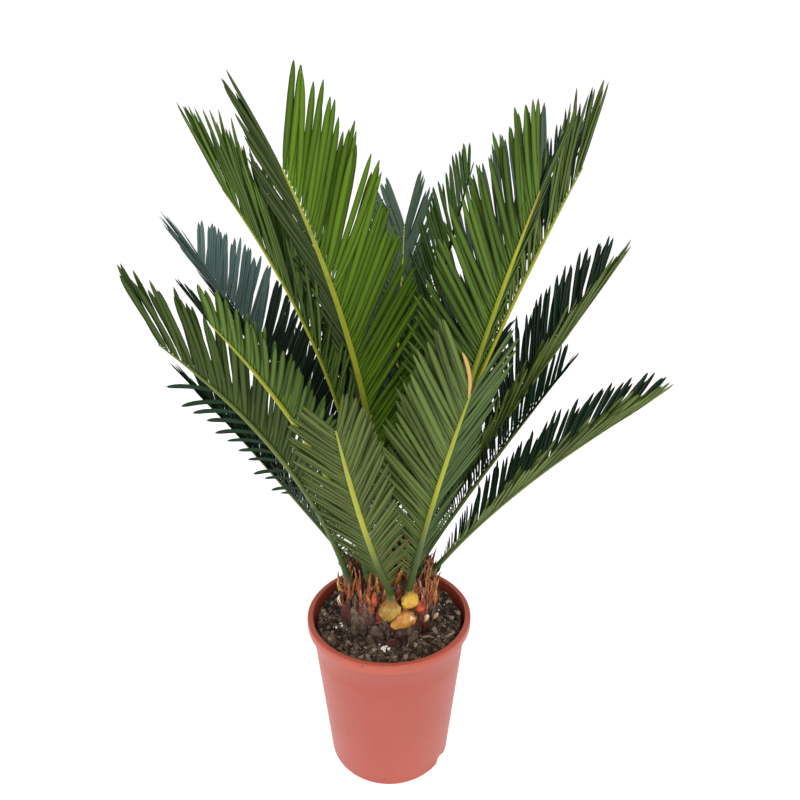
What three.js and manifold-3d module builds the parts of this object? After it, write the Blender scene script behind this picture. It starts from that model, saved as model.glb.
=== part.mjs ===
// A young sago palm in its plastic nursery pot. Millimetres, +Z up, origin at the centre of the
// pot's underside. The palm is a short caudex (the swollen trunk) set in potting mix, with a crown
// of stiff feather fronds. Each frond is one rachis (the frond's stem) with two rows of leaflets
// that rise from it in a V. Angles are degrees; a bearing is measured from +X towards +Y, so the
// front of the plant is at -90, and a lean is measured from upright.
import * as THREE from 'three';
import { mergeVertices } from 'three/addons/utils/BufferGeometryUtils.js';
import Module from 'manifold-3d';

const wasm = await Module();
wasm.setup();

const GAP = 0.3; // between any two nodes that meet

// Pot: a tapered plastic shell with a turned-out rim
const POT_HEIGHT = 185;
const POT_SIDES = 36;
const RIM_RADIUS = 95;
const RIM_HEIGHT = 11;
const RIM_EDGE = 1.6; // bevel along both edges of the rim
const WALL_TOP_RADIUS = 89.5; // outside, just under the rim
const WALL_FOOT_RADIUS = 71.5;
const WALL_THICKNESS = 1.8;
const FLOOR_THICKNESS = 2.5;
const FOOT_RADIUS = 69.5; // the flat that the pot stands on
const FOOT_ROUND = 4; // height of the rounded corner above it
const STEP_HEIGHT = 154; // a faint step runs round the wall here
const STEP_DEPTH = 0.6;
const NOTCH_BEARINGS = [-32, 148]; // drain notches in the foot
const NOTCH_WIDTH = 14;
const NOTCH_HEIGHT = 6;

// Potting mix
const SOIL_LEVEL = 177;
const SOIL_CLEARANCE = 0.5; // to the pot's wall
const SOIL_EDGE_DROP = 3; // the mix has shrunk from the wall along its top edge
const POCKET_CLEARANCE = 0.7; // round the buried part of the caudex

// Caudex: [radius, height] up its profile
const CAUDEX_SIDES = 16;
const CAUDEX_FOOT = 146;
const CAUDEX_PROFILE = [
  [38, CAUDEX_FOOT],
  [50, 160],
  [55, SOIL_LEVEL],
  [57, 192],
  [56, 208],
  [53, 222],
  [46, 234],
  [35, 242],
  [20, 248],
];
const SCALE_COUNT = 30; // old leaf bases that cover the caudex
const SCALE_SIZE = { width: 19, length: 26, thickness: 11 };
const SCALE_SINK = 4; // how far the foot of a scale is inside the bulb
const SCALE_HEIGHTS = [182, 228];
const SHEATH_COUNT = 14; // upright pointed sheath leaves round the crown
const SHEATH_SIZE = { width: 13, length: 52, thickness: 4 };
const SHEATH_SINK = 5;
const SHEATH_HEIGHTS = [205, 228];
const BOSS_LENGTH = 24; // living leaf base under each frond's foot
const BOSS_FOOT_RADIUS = 9;
const BOSS_SIDES = 5;
const GOLDEN_ANGLE = 137.5;

// Fronds: where each ring of feet sits on the crown, and how much of the rachis is bare petiole
const RINGS = {
  inner: { radius: 25, height: 257, petiole: 0.2 },
  middle: { radius: 36, height: 250, petiole: 0.2 },
  outer: { radius: 49, height: 241, petiole: 0.18 },
};
// seat: bearing of the foot. bearing, swing: bearing of the rachis at its foot, and its change to
// the tip. lean: at the foot and at the tip. roll: twist of the blade at the tip. vee: how far each
// row of leaflets rises from the flat. length, leaf: rachis and longest leaflet.
const FRONDS = {
  frond_front_left: {
    ring: 'outer', seat: -88, bearing: -105, swing: 4, lean: [39, 30],
    roll: 30, vee: 29, length: 297, leaf: 50,
  },
  frond_front_right: {
    ring: 'outer', seat: -64, bearing: -70, swing: 0, lean: [22, 30],
    roll: -10, vee: 39, length: 268, leaf: 97,
  },
  frond_right_tall: {
    ring: 'middle', seat: -30, bearing: -44, swing: 0, lean: [13, 22],
    roll: 0, vee: 42, length: 416, leaf: 99,
  },
  frond_right_outer: {
    ring: 'inner', seat: -16, bearing: -10, swing: 3, lean: [15, 26],
    roll: -10, vee: 52, length: 440, leaf: 105,
  },
  frond_right_middle: {
    ring: 'middle', seat: 27, bearing: -3, swing: 5, lean: [29, 34],
    roll: 9, vee: 46, length: 351, leaf: 88,
  },
  frond_right_thin: {
    ring: 'middle', seat: -2, bearing: -1, swing: 3, lean: [31, 36],
    roll: 10, vee: 40, length: 260, leaf: 53,
  },
  frond_right_low: {
    ring: 'outer', seat: -10, bearing: -10, swing: 2, lean: [36, 54],
    roll: -4, vee: 39, length: 280, leaf: 75,
  },
  frond_left_low: {
    ring: 'outer', seat: 202, bearing: 219, swing: 0, lean: [17, 46],
    roll: 32, vee: 30, length: 342, leaf: 84,
  },
  frond_left_middle: {
    ring: 'middle', seat: 230, bearing: 230, swing: 7, lean: [17, 44],
    roll: -6, vee: 38, length: 356, leaf: 58,
  },
  frond_left_back: {
    ring: 'middle', seat: 140, bearing: 146, swing: -2, lean: [27, 50],
    roll: 11, vee: 38, length: 408, leaf: 104,
  },
  frond_left_outer: {
    ring: 'inner', seat: 165, bearing: 180, swing: -8, lean: [2, 36],
    roll: 14, vee: 41, length: 423, leaf: 116,
  },
  frond_left_tall: {
    ring: 'inner', seat: 260, bearing: 233, swing: -13, lean: [2, 28],
    roll: 37, vee: 48, length: 424, leaf: 120,
  },
  frond_back_tall: {
    ring: 'inner', seat: 88, bearing: 82, swing: 2, lean: [22, 32],
    roll: -16, vee: 37, length: 402, leaf: 101,
  },
  frond_right_upright: {
    ring: 'inner', seat: 23, bearing: 26, swing: -6, lean: [0, 18],
    roll: 2, vee: 34, length: 413, leaf: 73,
  },
  frond_right_back: {
    ring: 'inner', seat: 54, bearing: 35, swing: -3, lean: [22, 32],
    roll: 12, vee: 46, length: 449, leaf: 141,
  },
  frond_left_lowest: {
    ring: 'outer', seat: 161, bearing: 185, swing: -4, lean: [35, 37],
    roll: -10, vee: 36, length: 248, leaf: 78,
  },
  frond_back_low_right: {
    ring: 'outer', seat: 60, bearing: 57, swing: -2, lean: [35, 53],
    roll: 6, vee: 38, length: 292, leaf: 80,
  },
  frond_back_low: {
    ring: 'middle', seat: 100, bearing: 106, swing: 3, lean: [28, 48],
    roll: 5, vee: 40, length: 337, leaf: 82,
  },
  frond_back_low_left: {
    ring: 'outer', seat: 123, bearing: 125, swing: -5, lean: [37, 56],
    roll: -5, vee: 40, length: 288, leaf: 75,
  },
};
const RACHIS_SEGMENTS = 8;
const PETIOLE_RADIUS = 5;
const RACHIS_RADIUS = 3.6; // where the leaflets begin
const RACHIS_TIP_RADIUS = 1.6;
const LEAF_PITCH = 23; // between pairs of leaflets along the rachis
const LEAF_WIDTH_MOST = 15.5;
const LEAF_WIDTH_LEAST = 10;
const LEAF_FILL = 0.95; // share of the pitch that a leaflet fills
const LEAF_THICKNESS = 2;
const LEAF_SHOULDERS = [0.25, 0.7]; // the sides of a leaflet are parallel between these shares of it
const LEAF_SINK = 1.4; // the leaflet's point starts this far behind the middle of the rachis
const LEAF_SWEEP = [53, 24]; // angle from the rachis, at the lowest pair and at the tip
// leaflet length along the blade, as [share of the blade, share of the longest leaflet]
const LEAF_LENGTHS = [[0, 0.45], [0.12, 0.7], [0.35, 0.9], [0.6, 1], [0.85, 0.97], [0.94, 0.88], [1, 0.7]];
const LEAF_TRIES = [1, 0.85, 0.7, 0.5]; // a leaflet that would touch a neighbour is cut shorter

const { degToRad, lerp } = THREE.MathUtils;
const bearingPoint = (radius, bearing, z) =>
  new THREE.Vector3(radius * Math.cos(degToRad(bearing)), radius * Math.sin(degToRad(bearing)), z);

// A repeatable random number from 0 to 1
const chance = seed => {
  const x = Math.sin(seed * 127.1 + 11.7) * 43758.5453;
  return x - Math.floor(x);
};

// Straight-line interpolation in a list of [position, value]
const alongList = (list, at) => {
  const i = Math.max(1, list.findIndex(([position]) => position >= at));
  const [[x0, y0], [x1, y1]] = [list[i - 1], list[i]];
  return lerp(y0, y1, (at - x0) / (x1 - x0));
};

// ---- Solids ----
function solidOf(geometry) {
  const bare = new THREE.BufferGeometry().setAttribute('position', geometry.getAttribute('position'));
  bare.setIndex(geometry.index);
  const merged = mergeVertices(bare, 1e-4);
  return new wasm.Manifold(
    new wasm.Mesh({
      numProp: 3,
      vertProperties: merged.attributes.position.array,
      triVerts: new Uint32Array(merged.index.array),
    }),
  );
}

function geometryOf(solid) {
  const { vertProperties, triVerts } = solid.getMesh();
  const geometry = new THREE.BufferGeometry();
  geometry.setAttribute('position', new THREE.BufferAttribute(vertProperties, 3));
  geometry.setIndex(new THREE.BufferAttribute(triVerts, 1));
  geometry.computeVertexNormals();
  return geometry;
}

const joined = solids => solids.reduce((whole, solid) => whole.add(solid));
const touches = (solid, others) => !solid.intersect(others).isEmpty();

// A lathe turned about Z from a closed profile of [radius, height]
function turned(profile, sides) {
  const points = profile.map(([radius, height]) => new THREE.Vector2(radius, height));
  return new THREE.LatheGeometry(points, sides).rotateX(Math.PI / 2);
}

// A matrix that stands a unit shape (Y along it) at a point
function standing(point, across, along, out, { width, length, thickness }) {
  return new THREE.Matrix4()
    .makeBasis(across, along, out)
    .setPosition(point)
    .scale(new THREE.Vector3(width, length, thickness));
}

// ---- Pot and potting mix ----
const WALL_HEIGHT = POT_HEIGHT - RIM_HEIGHT - FOOT_ROUND;
const wallRadius = z => lerp(WALL_FOOT_RADIUS, WALL_TOP_RADIUS, (z - FOOT_ROUND) / WALL_HEIGHT);
const innerRadius = z => wallRadius(z) - WALL_THICKNESS;

function potSolid() {
  const rimBottom = POT_HEIGHT - RIM_HEIGHT;
  const shell = turned(
    [
      [0, 0],
      [FOOT_RADIUS, 0],
      [lerp(FOOT_RADIUS, WALL_FOOT_RADIUS, 0.7), FOOT_ROUND * 0.3],
      [WALL_FOOT_RADIUS, FOOT_ROUND],
      [wallRadius(STEP_HEIGHT) - STEP_DEPTH, STEP_HEIGHT],
      [wallRadius(STEP_HEIGHT), STEP_HEIGHT + 1],
      [WALL_TOP_RADIUS, rimBottom],
      [RIM_RADIUS - RIM_EDGE, rimBottom],
      [RIM_RADIUS, rimBottom + RIM_EDGE],
      [RIM_RADIUS, POT_HEIGHT - RIM_EDGE],
      [RIM_RADIUS - RIM_EDGE, POT_HEIGHT],
      [innerRadius(POT_HEIGHT), POT_HEIGHT],
      [innerRadius(rimBottom), rimBottom],
      [innerRadius(FOOT_ROUND), FOOT_ROUND],
      [FOOT_RADIUS - WALL_THICKNESS, FLOOR_THICKNESS],
      [0, FLOOR_THICKNESS],
    ],
    POT_SIDES,
  );
  const notches = NOTCH_BEARINGS.map(bearing => {
    const box = new THREE.BoxGeometry(NOTCH_WIDTH, NOTCH_WIDTH, 2 * NOTCH_HEIGHT);
    box.translate(WALL_FOOT_RADIUS, 0, 0).rotateZ(degToRad(bearing));
    return solidOf(box);
  });
  return notches.reduce((pot, notch) => pot.subtract(notch), solidOf(shell));
}

function soilSolid() {
  const edge = z => innerRadius(z) - SOIL_CLEARANCE;
  const buried = CAUDEX_PROFILE.filter(([, z]) => z <= SOIL_LEVEL);
  const pocket = buried.map(([radius, z]) => [radius + POCKET_CLEARANCE, z === CAUDEX_FOOT ? z - GAP : z]);
  return solidOf(
    turned(
      [
        [0, FLOOR_THICKNESS + GAP],
        [FOOT_RADIUS - WALL_THICKNESS - SOIL_CLEARANCE, FLOOR_THICKNESS + GAP],
        [edge(FOOT_ROUND), FOOT_ROUND],
        [edge(SOIL_LEVEL - 2 * SOIL_EDGE_DROP), SOIL_LEVEL - 2 * SOIL_EDGE_DROP],
        [edge(SOIL_LEVEL) - SOIL_EDGE_DROP, SOIL_LEVEL],
        ...pocket.reverse(),
        [0, CAUDEX_FOOT - GAP],
      ],
      POT_SIDES,
    ),
  );
}

// ---- Rachis ----
class Rachis extends THREE.Curve {
  constructor(frond) {
    super();
    this.frond = frond;
    const { radius, height } = RINGS[frond.ring];
    this.foot = bearingPoint(radius, frond.seat, height);
  }

  // The frond's own directions at a share t of its length: along it, across it to one row of
  // leaflets, and out of its upper face
  frame(t) {
    const { bearing, swing, lean, roll } = this.frond;
    const b = degToRad(bearing + swing * t);
    const l = degToRad(lerp(...lean, t));
    const along = new THREE.Vector3(Math.sin(l) * Math.cos(b), Math.sin(l) * Math.sin(b), Math.cos(l));
    const side = new THREE.Vector3(-Math.sin(b), Math.cos(b), 0);
    const face = new THREE.Vector3().crossVectors(along, side);
    const twist = degToRad(roll * t);
    return { along, side: side.applyAxisAngle(along, twist), face: face.applyAxisAngle(along, twist) };
  }

  getPoint(t) {
    const steps = 24;
    const point = this.foot.clone();
    for (let i = 0; i < steps; i++) {
      point.addScaledVector(this.frame((t * (i + 0.5)) / steps).along, (t * this.frond.length) / steps);
    }
    return point;
  }

  radius(t) {
    const { petiole } = RINGS[this.frond.ring];
    return t < petiole
      ? lerp(PETIOLE_RADIUS, RACHIS_RADIUS, t / petiole)
      : lerp(RACHIS_RADIUS, RACHIS_TIP_RADIUS, (t - petiole) / (1 - petiole));
  }

  // A three-sided stem with a ridge along its upper face, between the two rows of leaflets
  solid() {
    const geometry = new THREE.CylinderGeometry(1, 1, 1, 3, RACHIS_SEGMENTS).rotateY(Math.PI);
    const position = geometry.getAttribute('position');
    for (let i = 0; i < position.count; i++) {
      const t = position.getY(i) + 0.5;
      const { side, face } = this.frame(t);
      const point = this.getPoint(t)
        .addScaledVector(side, position.getX(i) * this.radius(t))
        .addScaledVector(face, -position.getZ(i) * this.radius(t));
      position.setXYZ(i, ...point);
    }
    return solidOf(geometry);
  }
}

// ---- Leaflets ----
// A unit leaflet of eight faces, Y along it and X across it. It is an octahedron laid on one face,
// so its outline is a long hexagon with a point at either end.
function unitLeaf() {
  const corner = new THREE.Vector3(1, 1, 1).normalize();
  const level = new THREE.Quaternion().setFromUnitVectors(corner, new THREE.Vector3(0, 0, 1));
  const leaf = new THREE.OctahedronGeometry(1).applyQuaternion(level).rotateZ(Math.PI / 4);
  leaf.computeBoundingBox();
  const size = leaf.boundingBox.getSize(new THREE.Vector3());
  leaf.scale(1 / size.x, 1 / size.y, 1 / size.z).translate(0, 0.5, 0);
  const position = leaf.getAttribute('position');
  for (let i = 0; i < position.count; i++) {
    const y = THREE.MathUtils.clamp(position.getY(i), 0, 1);
    position.setY(i, alongList([[0, 0], [0.25, LEAF_SHOULDERS[0]], [0.75, LEAF_SHOULDERS[1]], [1, 1]], y));
  }
  return leaf;
}
const leafShape = unitLeaf();
const leafRoom = leafShape.clone().scale(1.12, 1.02, 1.8); // the space that has to be free for it

function leafMatrix(rachis, t, row, length, sweep, width) {
  const { along, side, face } = rachis.frame(t);
  const vee = degToRad(rachis.frond.vee);
  const out = side.multiplyScalar(row * Math.cos(vee)).addScaledVector(face, Math.sin(vee));
  const direction = along.clone().multiplyScalar(Math.cos(sweep)).addScaledVector(out, Math.sin(sweep));
  const across = along.addScaledVector(direction, -along.dot(direction)).normalize().multiplyScalar(row);
  const under = new THREE.Vector3().crossVectors(across, direction);
  const root = rachis.getPoint(t).addScaledVector(direction, -LEAF_SINK);
  return standing(root, across, direction, under, { width, length, thickness: LEAF_THICKNESS });
}

// Every leaflet of a frond, as [share of its length, row, length, sweep, width], from tip to foot
function leafPlaces(frond) {
  const { petiole } = RINGS[frond.ring];
  const pairs = Math.round(((1 - petiole) * frond.length) / LEAF_PITCH);
  const places = [];
  for (let i = pairs; i >= 0; i--) {
    const u = i / pairs;
    const sweep = degToRad(lerp(...LEAF_SWEEP, u));
    const fill = LEAF_FILL * LEAF_PITCH * Math.sin(sweep);
    const width = THREE.MathUtils.clamp(fill, LEAF_WIDTH_LEAST, LEAF_WIDTH_MOST);
    const length = frond.leaf * alongList(LEAF_LENGTHS, u);
    const t = Math.min(lerp(petiole, 1, u), 0.995);
    for (const row of [1, -1]) places.push([t, row, length, sweep, width]);
  }
  return places;
}

function frondSolid(rachis, limb, neighbours) {
  let solid = limb;
  for (const [t, row, length, sweep, width] of leafPlaces(rachis.frond)) {
    for (const share of LEAF_TRIES) {
      const matrix = leafMatrix(rachis, t, row, length * share, sweep, width);
      if (!touches(solidOf(leafRoom.clone().applyMatrix4(matrix)), neighbours)) {
        solid = solid.add(solidOf(leafShape.clone().applyMatrix4(matrix)));
        break;
      }
    }
  }
  return solid;
}

// ---- Caudex ----
const bulbRadius = z => alongList(CAUDEX_PROFILE.map(([radius, height]) => [height, radius]), z);

function bulbGeometry() {
  const top = CAUDEX_PROFILE.at(-1)[1];
  const bulb = turned([[0, CAUDEX_FOOT], ...CAUDEX_PROFILE, [0, top + 3]], CAUDEX_SIDES);
  const position = bulb.getAttribute('position');
  for (let i = 0; i < position.count; i++) {
    const [x, y, z] = [position.getX(i), position.getY(i), position.getZ(i)];
    const above = THREE.MathUtils.clamp((z - SOIL_LEVEL) / 12, 0, 1);
    const swell = 1 + above * 0.04 * Math.sin(3 * Math.atan2(y, x) + z / 20);
    position.setXYZ(i, x * swell, y * swell, z);
  }
  return bulb;
}

// A pointed scale on the bulb: its foot is sunk in, and it lies up the bulb and leans out
function scaleMatrix(bearing, z, lean, sink, size) {
  const radial = bearingPoint(1, bearing, 0);
  const along = new THREE.Vector3(0, 0, Math.cos(lean)).addScaledVector(radial, Math.sin(lean));
  const across = new THREE.Vector3().crossVectors(new THREE.Vector3(0, 0, 1), radial);
  const out = new THREE.Vector3().crossVectors(across, along);
  const foot = radial.clone().multiplyScalar(bulbRadius(z) - sink).setZ(z);
  return standing(foot.addScaledVector(along, size.length / 2), across, along, out, size);
}

function scales() {
  const made = [];
  for (let i = 0; i < SCALE_COUNT; i++) {
    const up = i / (SCALE_COUNT - 1);
    const size = { ...SCALE_SIZE, width: SCALE_SIZE.width * lerp(1, 0.75, up) };
    const lean = degToRad(lerp(14, 2, up));
    made.push(scaleMatrix(i * GOLDEN_ANGLE, lerp(...SCALE_HEIGHTS, up), lean, SCALE_SINK, size));
  }
  for (let i = 0; i < SHEATH_COUNT; i++) {
    const size = { ...SHEATH_SIZE, length: SHEATH_SIZE.length * lerp(0.8, 1.15, chance(i)) };
    const bearing = (i * 360) / SHEATH_COUNT + 9 * chance(i + 80);
    const z = lerp(...SHEATH_HEIGHTS, chance(i + 40));
    const lean = degToRad(lerp(-4, 12, chance(i + 120)));
    made.push(scaleMatrix(bearing, z, lean, SHEATH_SINK, size));
  }
  return made;
}

// The living leaf base under a frond's foot ends a gap short of it
function bossSolid(rachis) {
  const { along } = rachis.frame(0);
  const boss = new THREE.CylinderGeometry(PETIOLE_RADIUS, BOSS_FOOT_RADIUS, BOSS_LENGTH, BOSS_SIDES);
  boss.translate(0, -BOSS_LENGTH / 2 - GAP, 0);
  boss.applyQuaternion(new THREE.Quaternion().setFromUnitVectors(new THREE.Vector3(0, 1, 0), along));
  boss.translate(...rachis.foot);
  return solidOf(boss);
}

function caudexSolid(rachises, limbs) {
  let solid = joined([solidOf(bulbGeometry()), ...rachises.map(bossSolid)]);
  const cone = new THREE.ConeGeometry(0.5, 1, 4);
  for (const matrix of scales()) {
    const scale = solidOf(cone.clone().applyMatrix4(matrix));
    const roomy = solidOf(cone.clone().scale(1.12, 1.03, 1.3).applyMatrix4(matrix));
    if (!touches(roomy, limbs)) solid = solid.add(scale);
  }
  return solid;
}

// ---- The plant ----
const plastic = new THREE.MeshStandardMaterial({ color: 0xc96c5d, roughness: 0.45, metalness: 0 });
const mix = new THREE.MeshStandardMaterial({ color: 0x3b322b, roughness: 1, metalness: 0 });
const bark = new THREE.MeshStandardMaterial({ color: 0x6f4a33, roughness: 0.9, metalness: 0 });
const foliage = new THREE.MeshStandardMaterial({ color: 0x3f6230, roughness: 0.5, metalness: 0 });

const plant = new THREE.Group();
function addNode(name, solid, material) {
  const mesh = new THREE.Mesh(geometryOf(solid), material.clone());
  mesh.name = name;
  plant.add(mesh);
}

const rachises = Object.values(FRONDS).map(frond => new Rachis(frond));
const limbs = rachises.map(rachis => rachis.solid());
const caudex = caudexSolid(rachises, joined(limbs));

addNode('pot', potSolid(), plastic);
addNode('potting_mix', soilSolid(), mix);
addNode('caudex', caudex, bark);

const grown = [];
Object.keys(FRONDS).forEach((name, i) => {
  const neighbours = joined([caudex, ...grown, ...limbs.filter((_, j) => j > i)]);
  const solid = frondSolid(rachises[i], limbs[i], neighbours);
  grown.push(solid);
  addNode(name, solid, foliage);
});

export default plant;
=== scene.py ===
# %% [markdown]
# # A young sago palm in a nursery pot
#
# A sago palm is a cycad. A short swollen trunk, the caudex, is armoured with old leaf bases, and a
# crown of stiff feather fronds grows out of its top. The CAD model gives the pot, the trunk and
# each frond as a plain solid with the right size and place. This script dresses that frame: it
# makes a finer piece for each solid, gives every piece a finish, and sets the light and the camera.
# The box of the plain solids is kept: the solids are only hidden.

# %% Load the frame
import functools
import math
import random

import bmesh
import bpy
import numpy as np
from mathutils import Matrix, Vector, noise


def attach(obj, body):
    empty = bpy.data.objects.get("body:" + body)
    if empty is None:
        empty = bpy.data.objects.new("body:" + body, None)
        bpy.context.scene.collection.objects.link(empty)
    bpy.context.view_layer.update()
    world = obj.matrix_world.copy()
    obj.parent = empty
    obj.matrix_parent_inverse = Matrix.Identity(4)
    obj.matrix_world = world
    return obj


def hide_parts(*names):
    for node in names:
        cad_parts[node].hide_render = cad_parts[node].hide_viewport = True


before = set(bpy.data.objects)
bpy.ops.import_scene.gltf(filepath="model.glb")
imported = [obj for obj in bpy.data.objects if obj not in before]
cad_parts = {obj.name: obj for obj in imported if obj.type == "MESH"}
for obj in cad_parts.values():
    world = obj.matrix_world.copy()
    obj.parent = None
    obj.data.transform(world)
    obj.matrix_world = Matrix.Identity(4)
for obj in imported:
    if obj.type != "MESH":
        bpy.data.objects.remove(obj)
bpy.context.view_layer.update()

MM = 0.001  # sizes below are in millimetres, and Blender counts in metres

# %% [markdown]
# ## Camera
#
# The whole plant is seen from a little above, close enough for the pot to taper strongly. A wide
# lens near the object does that; a long lens far away would flatten the pot's rim to a line.

# %% Camera
camera_data = bpy.data.cameras.new("camera")
camera_data.sensor_width = 36
camera_data.lens = 27.59
camera = bpy.data.objects.new("camera", camera_data)
camera.location = (0, -0.614, 0.6322)
camera.rotation_euler = (math.radians(72.78), 0, math.radians(-1.18))
bpy.context.scene.collection.objects.link(camera)
bpy.context.scene.camera = camera
print("camera lens, mm:", camera_data.lens)

# %% [markdown]
# ## Light and floor
#
# A white studio gives soft light from everywhere, so most of the light comes from the world. Area
# lights would be enough for a hard product shot, but then the depths of the crown go black. Here
# two large ones only add direction: one over the front, one from the upper left.

# %% World
scene = bpy.context.scene
scene.view_settings.view_transform = "Standard"
world = bpy.data.worlds.new("studio")
world.use_nodes = True
scene.world = world
WORLD_LIGHT = 0.52
BACKDROP = 1.05  # what the camera itself sees of the world: plain white
world_tree = world.node_tree
background = world_tree.nodes["Background"]
background.inputs["Color"].default_value = (1, 1, 1, 1)
light_path = world_tree.nodes.new("ShaderNodeLightPath")
strength = world_tree.nodes.new("ShaderNodeMapRange")
strength.inputs["To Min"].default_value = WORLD_LIGHT
strength.inputs["To Max"].default_value = BACKDROP
world_tree.links.new(light_path.outputs["Is Camera Ray"], strength.inputs["Value"])
world_tree.links.new(strength.outputs["Result"], background.inputs["Strength"])
print("world light:", WORLD_LIGHT, "and backdrop:", BACKDROP)


# %% Area lights
def add_light(name, place, target, size, watts):
    """A square area light, in metres, turned towards a target."""
    data = bpy.data.lights.new(name, "AREA")
    data.size = size
    data.energy = watts
    light = bpy.data.objects.new(name, data)
    light.location = place
    light.rotation_euler = (Vector(target) - Vector(place)).to_track_quat("-Z", "Y").to_euler()
    scene.collection.objects.link(light)
    return light


add_light("softbox_front", (0.5, -1.5, 2.3), (0, 0, 0.3), size=1.4, watts=34)
add_light("softbox_left", (-1.5, -0.9, 1.3), (0, 0, 0.35), size=1.0, watts=12)

# %% [markdown]
# ## Helpers for finishes
#
# Every finish is a small network of nodes. A colour is easiest to think of as the 0 to 255 values
# that a screen shows, but Blender's sockets take linear light, so a helper converts it.


# %% Colours and nodes
def rgb(red, green, blue):
    """A screen colour, 0 to 255, as a linear colour with alpha."""
    linear = [c / 255 / 12.92 if c < 10.3 else ((c / 255 + 0.055) / 1.055) ** 2.4 for c in (red, green, blue)]
    return (*linear, 1)


def add_node(tree, kind, inputs=None, **properties):
    """Adds a node. inputs gives each socket a value, or the output of another node."""
    node = tree.nodes.new(kind)
    for name, value in properties.items():
        setattr(node, name, value)
    for socket, value in (inputs or {}).items():
        if isinstance(value, bpy.types.NodeSocket):
            tree.links.new(value, node.inputs[socket])
        else:
            node.inputs[socket].default_value = value
    return node


def new_material(name, roughness=0.6, shine=0.5):
    """A material, its node tree and its Principled BSDF. shine: how strongly it reflects face on."""
    material = bpy.data.materials.new(name)
    material.use_nodes = True
    shader = material.node_tree.nodes["Principled BSDF"]
    shader.inputs["Roughness"].default_value = roughness
    shader.inputs["Specular IOR Level"].default_value = shine
    return material, material.node_tree, shader


def mix_colours(tree, factor, first, second):
    """The colour from first to second as factor goes from 0 to 1."""
    sockets = {0: factor, 6: first, 7: second}
    return add_node(tree, "ShaderNodeMix", sockets, data_type="RGBA").outputs[2]


def between(tree, factor, low, high):
    """A value from low to high as factor goes from 0 to 1."""
    node = add_node(tree, "ShaderNodeMapRange", {"Value": factor, "To Min": low, "To Max": high})
    return node.outputs["Result"]


def share_of(tree, value, low, high):
    """A share from 0 to 1 as value goes from low to high."""
    node = add_node(tree, "ShaderNodeMapRange", {"Value": value, "From Min": low, "From Max": high})
    return node.outputs["Result"]


print("pure red is", rgb(255, 0, 0))


# %% [markdown]
# Plastic, bark, soil and leaf all have two things in common: patches where the surface differs a
# little, and a fine grain that breaks up its shine. Each is one node group with its own inputs,
# placed in every material that needs it, so that the pattern is built once.


# %% Node groups: patches and grain
def new_group(name, inputs, output):
    """A node group with float inputs {name: default} and one float output."""
    group = bpy.data.node_groups.new(name, "ShaderNodeTree")
    for socket, default in inputs.items():
        made = group.interface.new_socket(socket, in_out="INPUT", socket_type="NodeSocketFloat")
        made.default_value = default
    group.interface.new_socket(output, in_out="OUTPUT", socket_type="NodeSocketFloat")
    return group, add_node(group, "NodeGroupInput"), add_node(group, "NodeGroupOutput")


def build_patches():
    """Soft-edged patches: Mask is 0 between them and 1 inside."""
    group, given, result = new_group("Patches", {"Scale": 60, "Low": 0.4, "High": 0.6}, "Mask")
    place = add_node(group, "ShaderNodeTexCoord").outputs["Object"]
    inputs = {"Vector": place, "Scale": given.outputs["Scale"], "Detail": 4}
    cloud = add_node(group, "ShaderNodeTexNoise", inputs).outputs["Fac"]
    edge = share_of(group, cloud, given.outputs["Low"], given.outputs["High"])
    group.links.new(edge, result.inputs["Mask"])
    return group


def build_grain():
    """A fine grain, stretched along Z by Stretch: Height runs from 0 to 1."""
    group, given, result = new_group("Grain", {"Scale": 400, "Stretch": 1}, "Height")
    place = add_node(group, "ShaderNodeTexCoord").outputs["Object"]
    squeeze = add_node(group, "ShaderNodeMath", {0: 1.0, 1: given.outputs["Stretch"]}, operation="DIVIDE")
    scale = add_node(group, "ShaderNodeCombineXYZ", {"X": 1.0, "Y": 1.0, "Z": squeeze.outputs[0]})
    moved = add_node(group, "ShaderNodeVectorMath", {0: place, 1: scale.outputs[0]}, operation="MULTIPLY")
    inputs = {"Vector": moved.outputs[0], "Scale": given.outputs["Scale"], "Detail": 5, "Roughness": 0.65}
    cloud = add_node(group, "ShaderNodeTexNoise", inputs).outputs["Fac"]
    group.links.new(cloud, result.inputs["Height"])
    return group


PATCHES = build_patches()
GRAIN = build_grain()
print("node groups:", [group.name for group in bpy.data.node_groups])


# %% [markdown]
# A material takes each group through one line. Every mesh also carries a number at each point, its
# mark: how far along a stem it is, how near a leaflet's rib or a scale's tip. Painting masks by hand
# would do the same, but a mark is set as the shape is made, so it always fits.


# %% Placing the groups
def patches(tree, scale, low, high):
    """The Mask of a Patches group in a material."""
    inputs = {"Scale": scale, "Low": low, "High": high}
    return add_node(tree, "ShaderNodeGroup", inputs, node_tree=PATCHES).outputs["Mask"]


def grain(tree, scale, stretch=1.0):
    """The Height of a Grain group in a material."""
    inputs = {"Scale": scale, "Stretch": stretch}
    return add_node(tree, "ShaderNodeGroup", inputs, node_tree=GRAIN).outputs["Height"]


def mark_of(tree):
    """The mark that the mesh carries at each point."""
    return add_node(tree, "ShaderNodeAttribute", attribute_name="mark").outputs["Fac"]


def bump(tree, shader, height, strength, millimetres):
    """Raises the surface by a height map."""
    inputs = {"Height": height, "Strength": strength, "Distance": millimetres * MM}
    node = add_node(tree, "ShaderNodeBump", inputs)
    tree.links.new(node.outputs["Normal"], shader.inputs["Normal"])


print("sockets of the patches group:", [socket.name for socket in PATCHES.interface.items_tree])

# %% [markdown]
# ## Helpers for shapes
#
# Leaflets, stems, scales, fibres and leaf bases are all the same kind of form: a row of rings, each
# with the same number of points, skinned into a closed tube. Instances would hold thousands of them
# in little memory, but an exported model drops those, so they are joined as they are made into the
# arrays of one mesh.


# %% Tubes
def round_angles(count):
    """Angles of points evenly spaced on a circle."""
    return np.linspace(0, 2 * math.pi, count, endpoint=False)


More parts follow.
